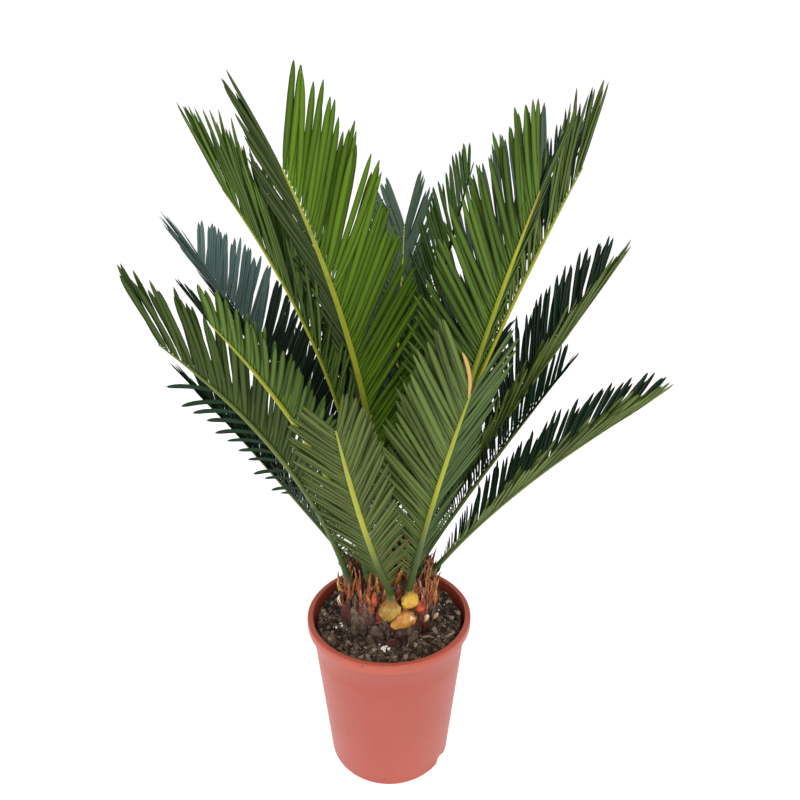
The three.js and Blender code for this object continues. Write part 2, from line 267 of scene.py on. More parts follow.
def mix(low, high, share):
    """Straight-line value between low and high."""
    return low + (high - low) * share


@functools.lru_cache(maxsize=None)
def tube_faces(rings, sides):
    """Faces of a closed tube: the walls, ring by ring, and then a cap at either end."""
    walls = [
        (r * sides + s, r * sides + (s + 1) % sides, (r + 1) * sides + (s + 1) % sides, (r + 1) * sides + s)
        for r in range(rings - 1)
        for s in range(sides)
    ]
    return walls + [tuple(range(sides)), tuple(range((rings - 1) * sides, rings * sides))]


print("a tube of 3 rings of 4 points has", len(tube_faces(3, 4)), "faces")


# %% Batches
class Batch:
    """Many small closed meshes, in millimetres, that become one object."""

    def __init__(self):
        self.points, self.faces, self.slots, self.marks = [], [], [], []
        self.count = 0

    def add(self, points, faces, slots=0, marks=0.0):
        """slots: the material number of each face. marks: the mark of each point."""
        points = np.asarray(points, float).reshape(-1, 3)
        start = self.count
        self.points.append(points)
        self.faces.extend([tuple(corner + start for corner in face) for face in faces])
        self.slots.extend(np.broadcast_to(slots, len(faces)).tolist())
        self.marks.append(np.broadcast_to(marks, len(points)))
        self.count += len(points)

    def add_tube(self, rings, slots=0, marks=0.0):
        """rings: an array of (rings, sides, 3)."""
        rings = np.asarray(rings, float)
        self.add(rings, tube_faces(*rings.shape[:2]), slots, marks)

    def build(self, name, materials, node, sharp):
        """Makes the object, dressing a CAD node. sharp: edges over this many degrees stay crisp."""
        mesh = bpy.data.meshes.new(name)
        mesh.from_pydata((np.concatenate(self.points) * MM).tolist(), [], self.faces)
        for material in materials:
            mesh.materials.append(material)
        mesh.polygons.foreach_set("material_index", self.slots)
        outward = bmesh.new()
        outward.from_mesh(mesh)
        bmesh.ops.recalc_face_normals(outward, faces=outward.faces)
        outward.to_mesh(mesh)
        outward.free()
        mesh.shade_smooth()
        mesh.set_sharp_from_angle(angle=math.radians(sharp))
        mark = mesh.attributes.new("mark", "FLOAT", "POINT")
        mark.data.foreach_set("value", np.concatenate(self.marks))
        made = bpy.data.objects.new(name, mesh)
        scene.collection.objects.link(made)
        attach(made, "root")
        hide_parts(node)
        print(name, "triangles:", sum(len(p.vertices) - 2 for p in mesh.polygons))
        return made


print("a new batch holds", Batch().count, "points")

# %% [markdown]
# ## Pot
#
# A nursery pot is a thin tapered shell of injection-moulded plastic with a band round its mouth.
# A lathe profile gives all of that in one pass; a cylinder with modifiers would not give the band's
# soft edges. The drain notches are dents in the foot, so points near them are pushed in afterwards.

# %% Pot: profile
POT_HEIGHT = 185
POT_SIDES = 192
RIM_RADIUS = 95
RIM_HEIGHT = 11
WALL_TOP_RADIUS = 89.5
WALL_FOOT_RADIUS = 71.5
WALL_THICKNESS = 1.8
FOOT_ROUND = 4
STEP_HEIGHT = 147
STEP_DEPTH = 0.12
NOTCH_BEARINGS = (-32, 148)
NOTCH_WIDTH = 16
NOTCH_HEIGHT = 9
NOTCH_DEPTH = 2.6
CORNER_POINTS = 5
RIM_BOTTOM = POT_HEIGHT - RIM_HEIGHT


def wall_radius(z):
    """Outside of the pot's wall."""
    return mix(WALL_FOOT_RADIUS, WALL_TOP_RADIUS, (z - FOOT_ROUND) / (RIM_BOTTOM - FOOT_ROUND))


def corner(centre, radius, start, end):
    """Points on a rounded corner of a profile, as (radius, height)."""
    angles = np.radians(np.linspace(start, end, CORNER_POINTS))
    return [(centre[0] + radius * math.cos(a), centre[1] + radius * math.sin(a)) for a in angles]


def pot_profile():
    """Round the shell: under the floor, up the outside, over the rim and down the inside."""
    wall = [(wall_radius(z), z) for z in np.linspace(FOOT_ROUND, STEP_HEIGHT - 1, 14)]
    step = wall_radius(STEP_HEIGHT)
    return [
        (0.01, 1.5),
        (WALL_FOOT_RADIUS - 8, 1.5),
        (WALL_FOOT_RADIUS - 6.5, 0),
        *corner((WALL_FOOT_RADIUS - 3, 3), 3, -90, 0),
        *wall,
        (step - STEP_DEPTH, STEP_HEIGHT),
        (step, STEP_HEIGHT + 1.4),
        (wall_radius(RIM_BOTTOM - 1.2), RIM_BOTTOM - 1.2),
        (wall_radius(RIM_BOTTOM) + 0.5, RIM_BOTTOM - 0.2),
        *corner((RIM_RADIUS - 2, RIM_BOTTOM + 2), 2, -90, 0),
        *corner((RIM_RADIUS - 2.2, POT_HEIGHT - 2.2), 2.2, 0, 90),
        *corner((WALL_TOP_RADIUS + 0.2, POT_HEIGHT - 1.5), 1.5, 90, 180),
        (wall_radius(RIM_BOTTOM) - WALL_THICKNESS, RIM_BOTTOM),
        (WALL_FOOT_RADIUS - WALL_THICKNESS, FOOT_ROUND + 1),
        (WALL_FOOT_RADIUS - 2 * WALL_THICKNESS, 3),
        (0.01, 3),
    ]


print("pot profile points:", len(pot_profile()))


# %% Pot: shell
def build_pot(materials):
    """The lathed shell with its notches pressed in."""
    profile = np.array(pot_profile())
    angles = round_angles(POT_SIDES)
    radius, height = profile[:, :1], profile[:, 1:]
    for bearing in NOTCH_BEARINGS:
        away = (np.degrees(angles) - bearing + 180) % 360 - 180
        sideways = np.clip(1 - (np.radians(away) * WALL_FOOT_RADIUS / (NOTCH_WIDTH / 2)) ** 2, 0, 1) ** 0.6
        up = np.clip(1.15 - height / NOTCH_HEIGHT, 0, 1)
        near_wall = np.clip((radius - 60) / 8, 0, 1)
        radius = radius - NOTCH_DEPTH * sideways * up * near_wall
    rings = np.stack([radius * np.cos(angles), radius * np.sin(angles), height + 0 * angles], axis=2)
    pot = Batch()
    # the mark is 1 on the rim, where the finish paints a highlight
    pot.add_tube(rings, 0, np.repeat(np.clip((profile[:, 1] - RIM_BOTTOM) / 2, 0, 1), POT_SIDES))
    return pot.build("nursery_pot", materials, "pot", sharp=40)


# %% [markdown]
# The plastic is a warm terracotta red, satin rather than glossy, and never quite even: the colour
# flowed in the mould, the rim carries a painted highlight a tone lighter, and the wall has picked
# up a few scuffs. Two patch masks give the cloudiness and the scuffs, and the mesh's mark says
# where the rim and its painted highlight are.


# %% Pot: plastic
def terracotta_plastic():
    """Cloudy satin plastic: a painted highlight on the rim by the mark, and dark scuffs."""
    material, tree, shader = new_material("terracotta_plastic")
    cloudy_and_rim_highlight = mix_colours(tree, patches(tree, 9, 0.35, 0.65), rgb(164, 67, 51), rgb(172, 73, 55))
    # painted highlight: the rim, where the mark is 1, is a tone lighter, as light falls on it
    cloudy_and_rim_highlight = mix_colours(tree, mark_of(tree), cloudy_and_rim_highlight, rgb(178, 81, 62))
    scuffed = mix_colours(tree, patches(tree, 170, 0.69, 0.73), cloudy_and_rim_highlight, rgb(122, 52, 42))
    tree.links.new(scuffed, shader.inputs["Base Color"])
    tree.links.new(between(tree, grain(tree, 160), 0.36, 0.5), shader.inputs["Roughness"])
    bump(tree, shader, grain(tree, 500), strength=0.25, millimetres=0.12)
    return material


build_pot([terracotta_plastic()])

# %% [markdown]
# ## Potting mix
#
# The mix is coir and bark fines: a lumpy dark surface that has shrunk away from the pot's wall, with
# crumbs, pale fibres and grains of white perlite lying on it. One displaced surface gives the big
# relief. The crumbs on top are separate small lumps, because noise alone never shows an overhang.

# %% Potting mix: surface
SOIL_LEVEL = 180
SOIL_RADIUS = 85.5
SOIL_INNER = 50  # nearer the middle, the bulb stands in the mix
SOIL_RELIEF = 3.6
SOIL_SIDES = 200
SOIL_RINGS = 58
SOIL_SKIRT = ((SOIL_RADIUS, 166), (72, 40), (60, 4), (0.5, 4))  # radius and height, inside the pot


def soil_height(x, y):
    """Height of the mix at a place: broad swells and small lumps, lower at the pot's wall."""
    broad = noise.noise(Vector((x, y, 3)) / 26) + 0.5 * noise.noise(Vector((x, y, 9)) / 11)
    small = noise.turbulence(Vector((x, y, 5)) / 6.5, 3, False)
    edge = max(0, math.hypot(x, y) - SOIL_RADIUS + 4.5 - 2.5 * noise.noise(Vector((x, y, 1)) / 15))
    return SOIL_LEVEL - 2 + SOIL_RELIEF * (0.55 * broad + 0.8 * small) - 0.6 * edge**1.7


def build_soil(materials):
    """A cake of mix: its relief on top, and a plain skirt down inside the pot."""
    angles = round_angles(SOIL_SIDES)
    rings = []
    for radius in np.linspace(0.5, SOIL_RADIUS, SOIL_RINGS):
        circle = [(radius * math.cos(a), radius * math.sin(a)) for a in angles]
        rings.append([(x, y, soil_height(x, y)) for x, y in circle])
    for radius, z in SOIL_SKIRT:
        rings.append([(radius * math.cos(a), radius * math.sin(a), z) for a in angles])
    soil = Batch()
    soil.add_tube(rings)
    return soil.build("potting_mix_surface", materials, "potting_mix", sharp=180)


print("mix stands", round(soil_height(0, -70), 1), "mm high at the front")


# %% [markdown]
# Damp mix has no shine. Two browns in patches and a strong fine bump are enough, because the real
# relief is in the mesh.


# %% Potting mix: finish
def earth(name, dark, light, scale, rough=0.95):
    """A crumbly matte finish of two colours."""
    material, tree, shader = new_material(name, rough, shine=0.2)
    colour = mix_colours(tree, patches(tree, scale, 0.38, 0.66), dark, light)
    tree.links.new(colour, shader.inputs["Base Color"])
    bump(tree, shader, grain(tree, 900), strength=0.9, millimetres=0.7)
    return material


mix_dark = earth("mix_dark", rgb(36, 28, 22), rgb(104, 86, 72), scale=190)
build_soil([mix_dark])

# %% [markdown]
# What lies on the mix comes in two forms: lumps and strands. A particle system would scatter them
# quickly, but it doesn't reach the exported model. So a lump is a small ball pushed in and out by
# noise, a strand is a thin tapering tube, and dice with a fixed seed deal out their places.

# %% Potting mix: lumps and strands
dice = random.Random(4)


def lump_shape():
    """A unit icosphere of 80 faces: its points and faces."""
    ball = bmesh.new()
    bmesh.ops.create_icosphere(ball, subdivisions=2, radius=1)
    points = np.array([vertex.co for vertex in ball.verts])
    faces = [tuple(vertex.index for vertex in face.verts) for face in ball.faces]
    ball.free()
    return points, faces


LUMP_POINTS, LUMP_FACES = lump_shape()


def add_lump(batch, place, size, slot, rough):
    """A ball pushed in and out by noise, squashed and turned."""
    shift = Vector([dice.uniform(0, 50) for _ in range(3)])
    swell = np.array([1 + rough * noise.noise(Vector(p) * 1.6 + shift) for p in LUMP_POINTS])
    stretch = np.array([dice.uniform(0.7, 1.2), dice.uniform(0.7, 1.2), dice.uniform(0.5, 0.8)])
    turn = dice.uniform(0, math.pi)
    x, y, z = (LUMP_POINTS * swell[:, None] * stretch * size).T
    cos, sin = math.cos(turn), math.sin(turn)
    batch.add(np.stack([x * cos - y * sin, x * sin + y * cos, z], 1) + np.array(place), LUMP_FACES, slot)


def add_strand(batch, points, radius, slot, sides=4):
    """A thin round fibre through a list of points, tapering to its end."""
    points = np.array(points, float)
    ahead = np.gradient(points, axis=0)
    ahead /= np.linalg.norm(ahead, axis=1)[:, None]
    across = np.cross(ahead, (0.31, 0.52, 0.79))
    across /= np.linalg.norm(across, axis=1)[:, None]
    out = np.cross(ahead, across)
    width = radius * np.linspace(1, 0.35, len(points))[:, None, None]
    angles = round_angles(sides)[:, None]
    ring = across[:, None] * np.cos(angles) + out[:, None] * np.sin(angles)
    batch.add_tube(points[:, None] + ring * width, slot)


def soil_place(reach=SOIL_RADIUS - 2):
    """A random place on the open mix, up to a radius."""
    radius = math.sqrt(dice.uniform(SOIL_INNER**2, reach**2))
    bearing = dice.uniform(0, 2 * math.pi)
    x, y = radius * math.cos(bearing), radius * math.sin(bearing)
    return x, y, soil_height(x, y)


print("a lump has", len(LUMP_FACES), "faces")

# %% Potting mix: crumbs and perlite
CRUMBS = 1300
LOOSE_GRAINS = 26
# clusters of perlite: centre, spread, size, how many
PERLITE = [((-4, -61), 4, 2.3, 6), ((-55, -24), 8, 1.4, 9), ((58, 10), 8, 1.5, 4)]


def build_crumbs(materials):
    """Crumbs of three tones all over the mix."""
    crumbs = Batch()
    for _ in range(CRUMBS):
        x, y, z = soil_place(SOIL_RADIUS - 4)
        size = 0.6 + 3.0 * dice.random() ** 2.6
        add_lump(crumbs, (x, y, z + 0.25 * size), size, dice.choice((0, 0, 0, 1, 1, 2)), rough=0.6)
    return crumbs.build("potting_mix_crumbs", materials, "potting_mix", sharp=60)


def build_perlite(materials):
    """White grains: a cluster at the front, looser ones at either side, the rest scattered."""
    grains = Batch()
    for (x, y), spread, size, count in PERLITE:
        for _ in range(count):
            at = (x + dice.uniform(-spread, spread), y + dice.uniform(-spread, spread))
            place = (*at, soil_height(*at) + 1.6)
            add_lump(grains, place, size * dice.uniform(0.6, 1.1), slot=0, rough=0.5)
    for _ in range(LOOSE_GRAINS):
        x, y, z = soil_place()
        add_lump(grains, (x, y, z + 0.9), dice.uniform(0.4, 0.9), slot=0, rough=0.5)
    return grains.build("perlite_grains", materials, "potting_mix", sharp=60)


crumb_materials = [
    earth("crumb_dark", rgb(32, 24, 19), rgb(64, 51, 41), scale=500),
    earth("crumb_brown", rgb(84, 66, 54), rgb(120, 101, 85), scale=500),
    earth("crumb_pale", rgb(122, 106, 90), rgb(164, 149, 130), scale=500),
]
build_crumbs(crumb_materials)
build_perlite([earth("perlite_white", rgb(214, 208, 198), rgb(240, 238, 234), scale=700, rough=0.8)])

# %% Potting mix: fibres
FIBRES = 230
CHIP = [(37, -41, 0), (40, -41, 0.8), (45, -42, 0.8), (49, -44, 0)]  # a pale chip of bark: x, y, up


def build_fibres(materials):
    """Coir fibres lying about, and the chip of bark."""
    fibres = Batch()
    for _ in range(FIBRES):
        x, y, z = soil_place()
        turn, length = dice.uniform(0, 2 * math.pi), dice.uniform(3, 11)
        curl = dice.uniform(-0.8, 0.8)
        points = []
        for k in range(4):
            a = turn + curl * k / 3
            reach = length * k / 3
            px, py = x + reach * math.cos(a), y + reach * math.sin(a)
            keep = min(1, (SOIL_RADIUS - 2) / math.hypot(px, py))
            px, py = px * keep, py * keep
            points.append((px, py, soil_height(px, py) + 0.9 + 0.5 * math.sin(k)))
        add_strand(fibres, points, dice.uniform(0.16, 0.34), dice.choice((0, 0, 1)))
    chip = [(x, y, soil_height(x, y) + 1.2 + up) for x, y, up in CHIP]
    add_strand(fibres, chip, radius=2.1, slot=0, sides=6)
    return fibres.build("coir_fibres", materials, "potting_mix", sharp=80)


fibre_materials = [
    earth("fibre_tan", rgb(120, 103, 80), rgb(156, 138, 112), scale=600),
    earth("fibre_brown", rgb(86, 64, 46), rgb(112, 84, 60), scale=600),
]
build_fibres(fibre_materials)

# %% [markdown]
# ## Caudex
#
# The trunk is a squat bulb. Its wood never shows: it is wrapped in old leaf bases, blunt grey-brown
# plates low down and pointed maroon ones higher up, each overlapping the next like roof shingles.
# A texture of scales would look painted on at the outline, so every scale is a curved plate of its
# own, wrapped round the bulb. The bulb behind them is deeply creased, and a painted shade darkens
# its creases.

# %% Caudex: the bulb
BULB_Z = np.array([150, 160, 177, 192, 208, 222, 234, 242, 248], float)
BULB_R = np.array([43, 49, 53, 54, 53, 50, 43, 32, 18], float)
BULB_SIDES = 220
BULB_RINGS = 96


def bulb_radius(z):
    """Radius of the bare bulb at a height."""
    return np.interp(z, BULB_Z, BULB_R)


def bulb_relief(bearing, z):
    """How far the bulb's skin stands in or out: broad lumps, creases and fine bark."""
    spot = Vector((math.cos(bearing) * 50, math.sin(bearing) * 50, z))
    lumps = noise.noise(spot / 17)
    creases = abs(noise.noise(Vector((spot.x, spot.y, spot.z * 0.45)) / 6))
    return 1.6 * lumps - 2.2 * max(0, 0.22 - creases) / 0.22 + 0.5 * noise.noise(spot / 1.8)


def build_bulb(materials):
    """The bulb as a lathed skin with bark relief. Its mark is 1 in the creases, where the finish paints
    shade.
    """
    angles = round_angles(BULB_SIDES)
    rings, marks = [], []
    for z in np.linspace(BULB_Z[0], BULB_Z[-1], BULB_RINGS):
        relief = [bulb_relief(a, z) for a in angles]
        radius = [bulb_radius(z) + r for r in relief]
        rings.append([(r * math.cos(a), r * math.sin(a), z) for r, a in zip(radius, angles)])
        # the mark: how deep the point lies in a crease, where the finish paints shade
        marks.extend(min(1, max(0, -r / 2)) for r in relief)
    bulb = Batch()
    bulb.add_tube(rings, 0, marks)
    return bulb.build("caudex_bulb", materials, "caudex", sharp=180)


print("bulb is", 2 * bulb_radius(192), "mm across")


# %% [markdown]
# Bark, scales and leaf bases share one recipe: a foot colour that runs into a tip colour, broken by
# patches and by streaks that run up the trunk. The run from foot to tip follows the mark that each
# mesh carries, because a height in space would cut every scale at the same level. Margins carry a
# mark below zero, down to -1, and darken there: a painted shade in the crevices between the pieces.


# %% Caudex: finishes
def bark(name, foot, tip, patch, rough=0.8, patch_scale=240, relief=0.6):
    """A fibrous finish, from foot to tip by the mark, with a painted shade on the margins. relief: in
    millimetres.
    """
    material, tree, shader = new_material(name, rough, shine=0.3)
    mark = mark_of(tree)
    run = add_node(tree, "ShaderNodeMapRange", {"Value": mark}, interpolation_type="SMOOTHSTEP")
    colour = mix_colours(tree, run.outputs["Result"], foot, tip)
    colour = mix_colours(tree, patches(tree, patch_scale, 0.48, 0.66), colour, patch)
    streaks = share_of(tree, grain(tree, 520, 6), 0.45, 0.75)
    colour = mix_colours(tree, streaks, colour, rgb(34, 20, 16))
    # painted shade: margins marked below zero go nearly black, as the crevices between the pieces
    colour = mix_colours(tree, share_of(tree, mark, -0.1, -1.0), colour, rgb(26, 14, 12))
    tree.links.new(colour, shader.inputs["Base Color"])
    bump(tree, shader, grain(tree, 620, 5), strength=1.0, millimetres=relief)
    return material


# its second colour, nearly black, is a painted shade in the creases
bulb_bark_crease_shade = bark(
    "bulb_bark_crease_shade", rgb(112, 96, 80), rgb(22, 15, 13), rgb(66, 48, 44), rough=0.9, patch_scale=130, relief=0.9
)
build_bulb([bulb_bark_crease_shade])

# %% [markdown]
# A scale is drawn flat first, as points across, up and out, and then laid round the bulb. Sculpting
# each one would take a day; one function with a blunt and a pointed outline gives them all, and the
# dice skew and roughen each one.

# %% Caudex: one scale
SCALE_RING = 14
SCALE_RINGS = 11
# margins are marked -1, where the finish paints a shade between overlapping scales
SCALE_MARGINS = np.where(np.abs(np.cos(round_angles(SCALE_RING))) > 0.88, -1, 0)
BLUNT = ([0, 0.3, 0.62, 0.85, 1], [0.72, 1, 0.95, 0.62, 0.16])
POINTED = ([0, 0.25, 0.55, 0.8, 1], [0.8, 1, 0.74, 0.34, 0.04])


def wrap(bearing, foot, plate):
    """Lays (across, up, out) points on the bulb, from a foot at a bearing and a height."""
    across, up, out = np.moveaxis(plate, -1, 0)
    base = bulb_radius(foot)
    radius = np.maximum(bulb_radius(foot + up), base - 0.35 * np.maximum(up, 0)) + out
    angle = math.radians(bearing) + across / base
    return np.stack([radius * np.cos(angle), radius * np.sin(angle), foot + up], axis=-1)


def scale_plate(width, length, thickness, outline, lift, skew, seed):
    """A scale as (across, up, out): humped outside, nearly flat inside, its tip lifted and skewed."""
    share = np.linspace(0, 1, SCALE_RINGS)[:, None]
    angle = round_angles(SCALE_RING)[None]
    half = width / 2 * np.interp(share, *outline)
    across = half * np.cos(angle)
    hump = np.where(np.sin(angle) > 0, np.sin(angle) ** 0.8 * thickness, np.sin(angle) * 0.5)
    keel = 0.5 * np.exp(-((np.cos(angle) / 0.25) ** 2)) * (np.sin(angle) > 0)
    thin = np.interp(share, [0, 0.4, 1], [0.6, 1, 0.35])
    rough = np.array([
        [noise.noise(Vector((c * 0.45 + seed, s * length * 0.2, seed))) for c in row]
        for row, s in zip(across, share[:, 0])
    ])
    out = (hump + keel) * thin + lift * share**2 - 1.5 * (1 - share) + 1.6 * rough
    across = across + skew * length * share**1.4 + 0.8 * rough
    return np.stack([across, length * share + 0 * angle, out], axis=-1), np.repeat(share[:, 0], SCALE_RING)


def add_scale(batch, bearing, foot, width, length, thickness, outline, lift, slot, tip_share):
    """One scale on the bulb. Its mark rises from 0 at tip_share of its length to 1 at the tip."""
    skew, seed = dice.uniform(-0.3, 0.3), dice.uniform(0, 90)
    plate, share = scale_plate(width, length, thickness, outline, lift, skew, seed)
    marks = np.clip((share - tip_share) / (1 - tip_share), 0, 1)
    # the margins keep their mark below zero, for the painted shade between the scales
    margins = np.tile(SCALE_MARGINS, SCALE_RINGS)
    batch.add_tube(wrap(bearing, foot, plate), slot, np.where(margins < 0, margins + 0.6 * marks, marks))


print("a scale has", len(tube_faces(SCALE_RINGS, SCALE_RING)), "faces")

# %% [markdown]
# Leaves come off a cycad in a spiral, each a golden angle round from the last, and leave their bases
# in the same order. Three belts follow it up the bulb, from broad and blunt to slim and pointed. A
# few patches of another kind, and the dice, keep the spiral from showing as a pattern.

# %% Caudex: three belts of scales
GOLDEN_ANGLE = 137.5
# (how many, lowest and highest foot, width, length, thickness, outline, lift, materials, tip share)
BELTS = [
    (36, (166, 186), 21, 21, 3.4, BLUNT, 0.8, (0, 0, 1, 5), 0.8),
    (58, (184, 208), 16, 24, 3.6, POINTED, 2.5, (1, 1, 5, 2), 0.65),
    (60, (202, 228), 13, 26, 3.2, POINTED, 4.5, (2, 2, 3, 3, 4), 0.5),
]
GREY_BEARINGS = (-142, -98)  # the side where the lowest plates are bare grey wood
GREY_TOP = 204


def build_scales(materials):
    """Old leaf bases, spiralling up the bulb by the golden angle."""
    scales = Batch()
    for count, feet, width, length, thickness, outline, lift, slots, tip in BELTS:
        for i in range(count):
            bearing = (i * GOLDEN_ANGLE + dice.uniform(-9, 9) + 180) % 360 - 180
            foot = mix(*feet, i / (count - 1)) + dice.uniform(-3, 3)
            grey = GREY_BEARINGS[0] < bearing < GREY_BEARINGS[1] and foot < GREY_TOP
            size = dice.uniform(0.65, 1.3)
            add_scale(
                scales,
                bearing,
                foot,
                width * size,
                length * dice.uniform(0.8, 1.15),
                thickness * dice.uniform(0.7, 1.2),
                BLUNT if grey else outline,
                lift * dice.uniform(0.2, 1.5),
                dice.choice((0, 5)) if grey else dice.choice(slots),
                tip,
            )
    return scales.build("caudex_scales", materials, "caudex", sharp=60)


scale_materials = [
    bark("scale_grey", rgb(118, 100, 82), rgb(152, 134, 112), rgb(78, 58, 50), rough=0.85),
    bark("scale_plum", rgb(88, 52, 44), rgb(128, 94, 68), rgb(52, 30, 28), rough=0.7),
    bark("scale_maroon", rgb(118, 46, 34), rgb(170, 112, 62), rgb(70, 28, 26), rough=0.5),
    bark("scale_russet", rgb(164, 80, 36), rgb(214, 162, 96), rgb(104, 40, 28), rough=0.55),
    bark("scale_amber", rgb(208, 124, 44), rgb(230, 184, 116), rgb(150, 62, 30), rough=0.55),
    bark("scale_damp", rgb(94, 76, 64), rgb(126, 108, 90), rgb(54, 40, 36), rough=0.6),
]
build_scales(scale_materials)

# %% [markdown]
# ## Fronds: the rule they grow by
#
# Every frond is an arched stem with two rows of leaflets that rise from it in a V. Four numbers give
# its course: the bearing it heads for, how that swings, and how far it leans at its foot and at its
# tip. The CAD solids were grown by this same rule, so the fine fronds fill the same space.

# %% Fronds: rings of feet and the table
RINGS = {
    "inner": dict(radius=25, height=257, petiole=0.2),
    "middle": dict(radius=36, height=250, petiole=0.2),
    "outer": dict(radius=49, height=241, petiole=0.18),
}
FROND_COLUMNS = "ring seat bearing swing lean roll vee length leaf under upper".split()
# seat: bearing of the foot on its ring. bearing, swing: where the stem heads, and how that changes to
# the tip. lean: from upright, at the foot and at the tip. roll: twist of the blade at the tip. vee:
# how far each row rises from the flat. leaf: the longest leaflet. under, upper: tones of its sides
FROND_ROWS = {
    "front_left": ("outer", -88, -105, 4, (39, 30), 30, 29, 297, 57, "olive", "shade"),
    "front_right": ("outer", -64, -70, 0, (22, 30), -10, 39, 284, 74, "moss", "shade"),
    "right_tall": ("middle", -30, -44, 0, (13, 22), 0, 42, 416, 99, "mid", "shade"),
    "right_outer": ("inner", -16, -10, 3, (15, 26), -10, 52, 440, 105, "grey", "shade"),
    "right_middle": ("middle", 27, -3, 5, (29, 34), 9, 46, 351, 88, "olive", "shade"),
    "right_thin": ("middle", -2, -1, 3, (31, 36), 10, 40, 260, 53, "deep", "shade"),
    "right_low": ("outer", -10, -10, 2, (36, 54), -4, 39, 280, 75, "olive", "shade"),
    "left_low": ("outer", 202, 219, 0, (17, 46), 32, 30, 342, 84, "dim", "shade"),
    "left_middle": ("middle", 230, 230, 7, (17, 44), -6, 38, 356, 58, "mid", "shade"),
    "left_back": ("middle", 140, 146, -2, (27, 50), 11, 38, 408, 104, "deep", "slate"),
    "left_outer": ("inner", 165, 180, -8, (2, 36), 14, 41, 423, 116, "mid", "meadow"),
    "left_tall": ("inner", 260, 233, -13, (2, 28), 37, 48, 424, 111, "fresh", "shade"),
    "back_tall": ("inner", 88, 82, 2, (22, 32), -16, 37, 402, 101, "deep", "dusk"),
    "right_upright": ("inner", 23, 26, -6, (0, 18), 2, 34, 413, 73, "fresh", "meadow"),
    "right_back": ("inner", 54, 35, -3, (22, 32), 12, 46, 449, 141, "deep", "dusk"),
    "left_lowest": ("outer", 161, 185, -4, (35, 37), -10, 36, 248, 78, "deep", "shade"),
    "back_low_right": ("outer", 60, 57, -2, (35, 53), 6, 38, 292, 80, "mid", "shade"),
    "back_low": ("middle", 100, 106, 3, (28, 48), 5, 40, 337, 82, "deep", "shade"),
    "back_low_left": ("outer", 123, 125, -5, (37, 56), -5, 40, 288, 75, "mid", "shade"),
}

FRONDS = {name: dict(zip(FROND_COLUMNS, row)) for name, row in FROND_ROWS.items()}
print("fronds:", len(FRONDS))

# %% [markdown]
# No two fronds of a real plant are alike. Random numbers alone would make them all equally untidy,
# so each frond gets its own habit: a few numbers that differ from the usual ones, such as how wide
# its leaflets open, how soon they shorten, and how far a row folds up or falls open.

# %% Fronds: their habits
# sweep: angle of the leaflets from the stem, at the lowest pair and at the tip. fade: length of the
# last leaflets, as a share of the longest. even: below 1, the low ones are longer. broad, crowd:
# width and number of the leaflets, as a share of the usual. tilt: turn of each leaflet about its own
# length. rise: what each row adds to the V. loose: how unruly they are. shaded_to: up to this share
# of the stem, the upper side takes a dark tone, a painted shade deep in the crown
HABIT = dict(sweep=(53, 24), fade=0.7, even=1, broad=1, crowd=1, tilt=14, rise=(0, 0), loose=1, shaded_to=0)
# the second row alone. second, second_broad: length and width, as a share of the first row's.
# second_sweep: its own sweep. second_bend: extra bend. second_keep: 1 leaflet in how many is there.
# second_span: the part of the blade that has a second row. second_under: tone of its under side
HABIT.update(second=1, second_broad=1, second_sweep=None, second_bend=0)
HABIT.update(second_keep=1, second_span=(-1, 1), second_under=None)
HABITS = {
    "front_left": dict(
        sweep=(46, 28), fade=0.55, even=0.3, crowd=1.12, second=1.02, second_sweep=(58, 36)
    ),
    "front_right": dict(
        sweep=(60, 30), fade=0.85, even=0.3, broad=1.2, crowd=1.12, second=1.12, second_under="grey"
    ),
    "right_tall": dict(sweep=(60, 28), rise=(-12, 0), broad=1.12, crowd=1.25),
    "right_outer": dict(crowd=1.1, loose=1.8),
    "right_middle": dict(tilt=-16, crowd=1.1, rise=(0, 2), second_sweep=(38, 18), second_under="sunny"),
    "right_thin": dict(broad=0.8),
    "right_low": dict(
        tilt=-16, crowd=1.1, rise=(0, 4), loose=1.4, second_sweep=(38, 22), second_under="sunny"
    ),
    "right_upright": dict(fade=0.5, second=0.45),
    "left_low": dict(
        fade=0.85, broad=1.1, crowd=1.3, rise=(0, -52),
        second=0.5, second_broad=0.9, second_sweep=(84, 44), second_bend=-44,
        second_keep=4, second_span=(0.2, 0.78), second_under="shade",
    ),
    "left_lowest": dict(crowd=1.3, broad=1.15),
    "left_outer": dict(broad=1.05, crowd=1.25, tilt=-8, loose=1.8),
    "left_middle": dict(crowd=1.15),
    "left_tall": dict(
        sweep=(53, 31), even=0.6, rise=(0, -5), broad=1.25, crowd=1.1,
        second_sweep=(92, 10), second_under="dim",
    ),
    "left_back": dict(sweep=(60, 32), even=1.5, broad=1.25, crowd=1.15, shaded_to=0.68),
    "back_tall": dict(broad=1.2, crowd=1.3),
    "right_back": dict(broad=1.1, crowd=1.1),
}
for name, frond in FRONDS.items():
    frond.update(RINGS[frond["ring"]], **{**HABIT, **HABITS.get(name, {})})
print("fronds with a habit of their own:", len(HABITS))

# %% [markdown]
# A stem's direction turns evenly from foot to tip, and its course is the sum of its directions. A
# curve object with handles could be drawn by eye, but then the leaflets couldn't ask, at any share
# of the length, which way is along, across and out.


# %% Fronds: directions and course
COURSE_STEPS = 24


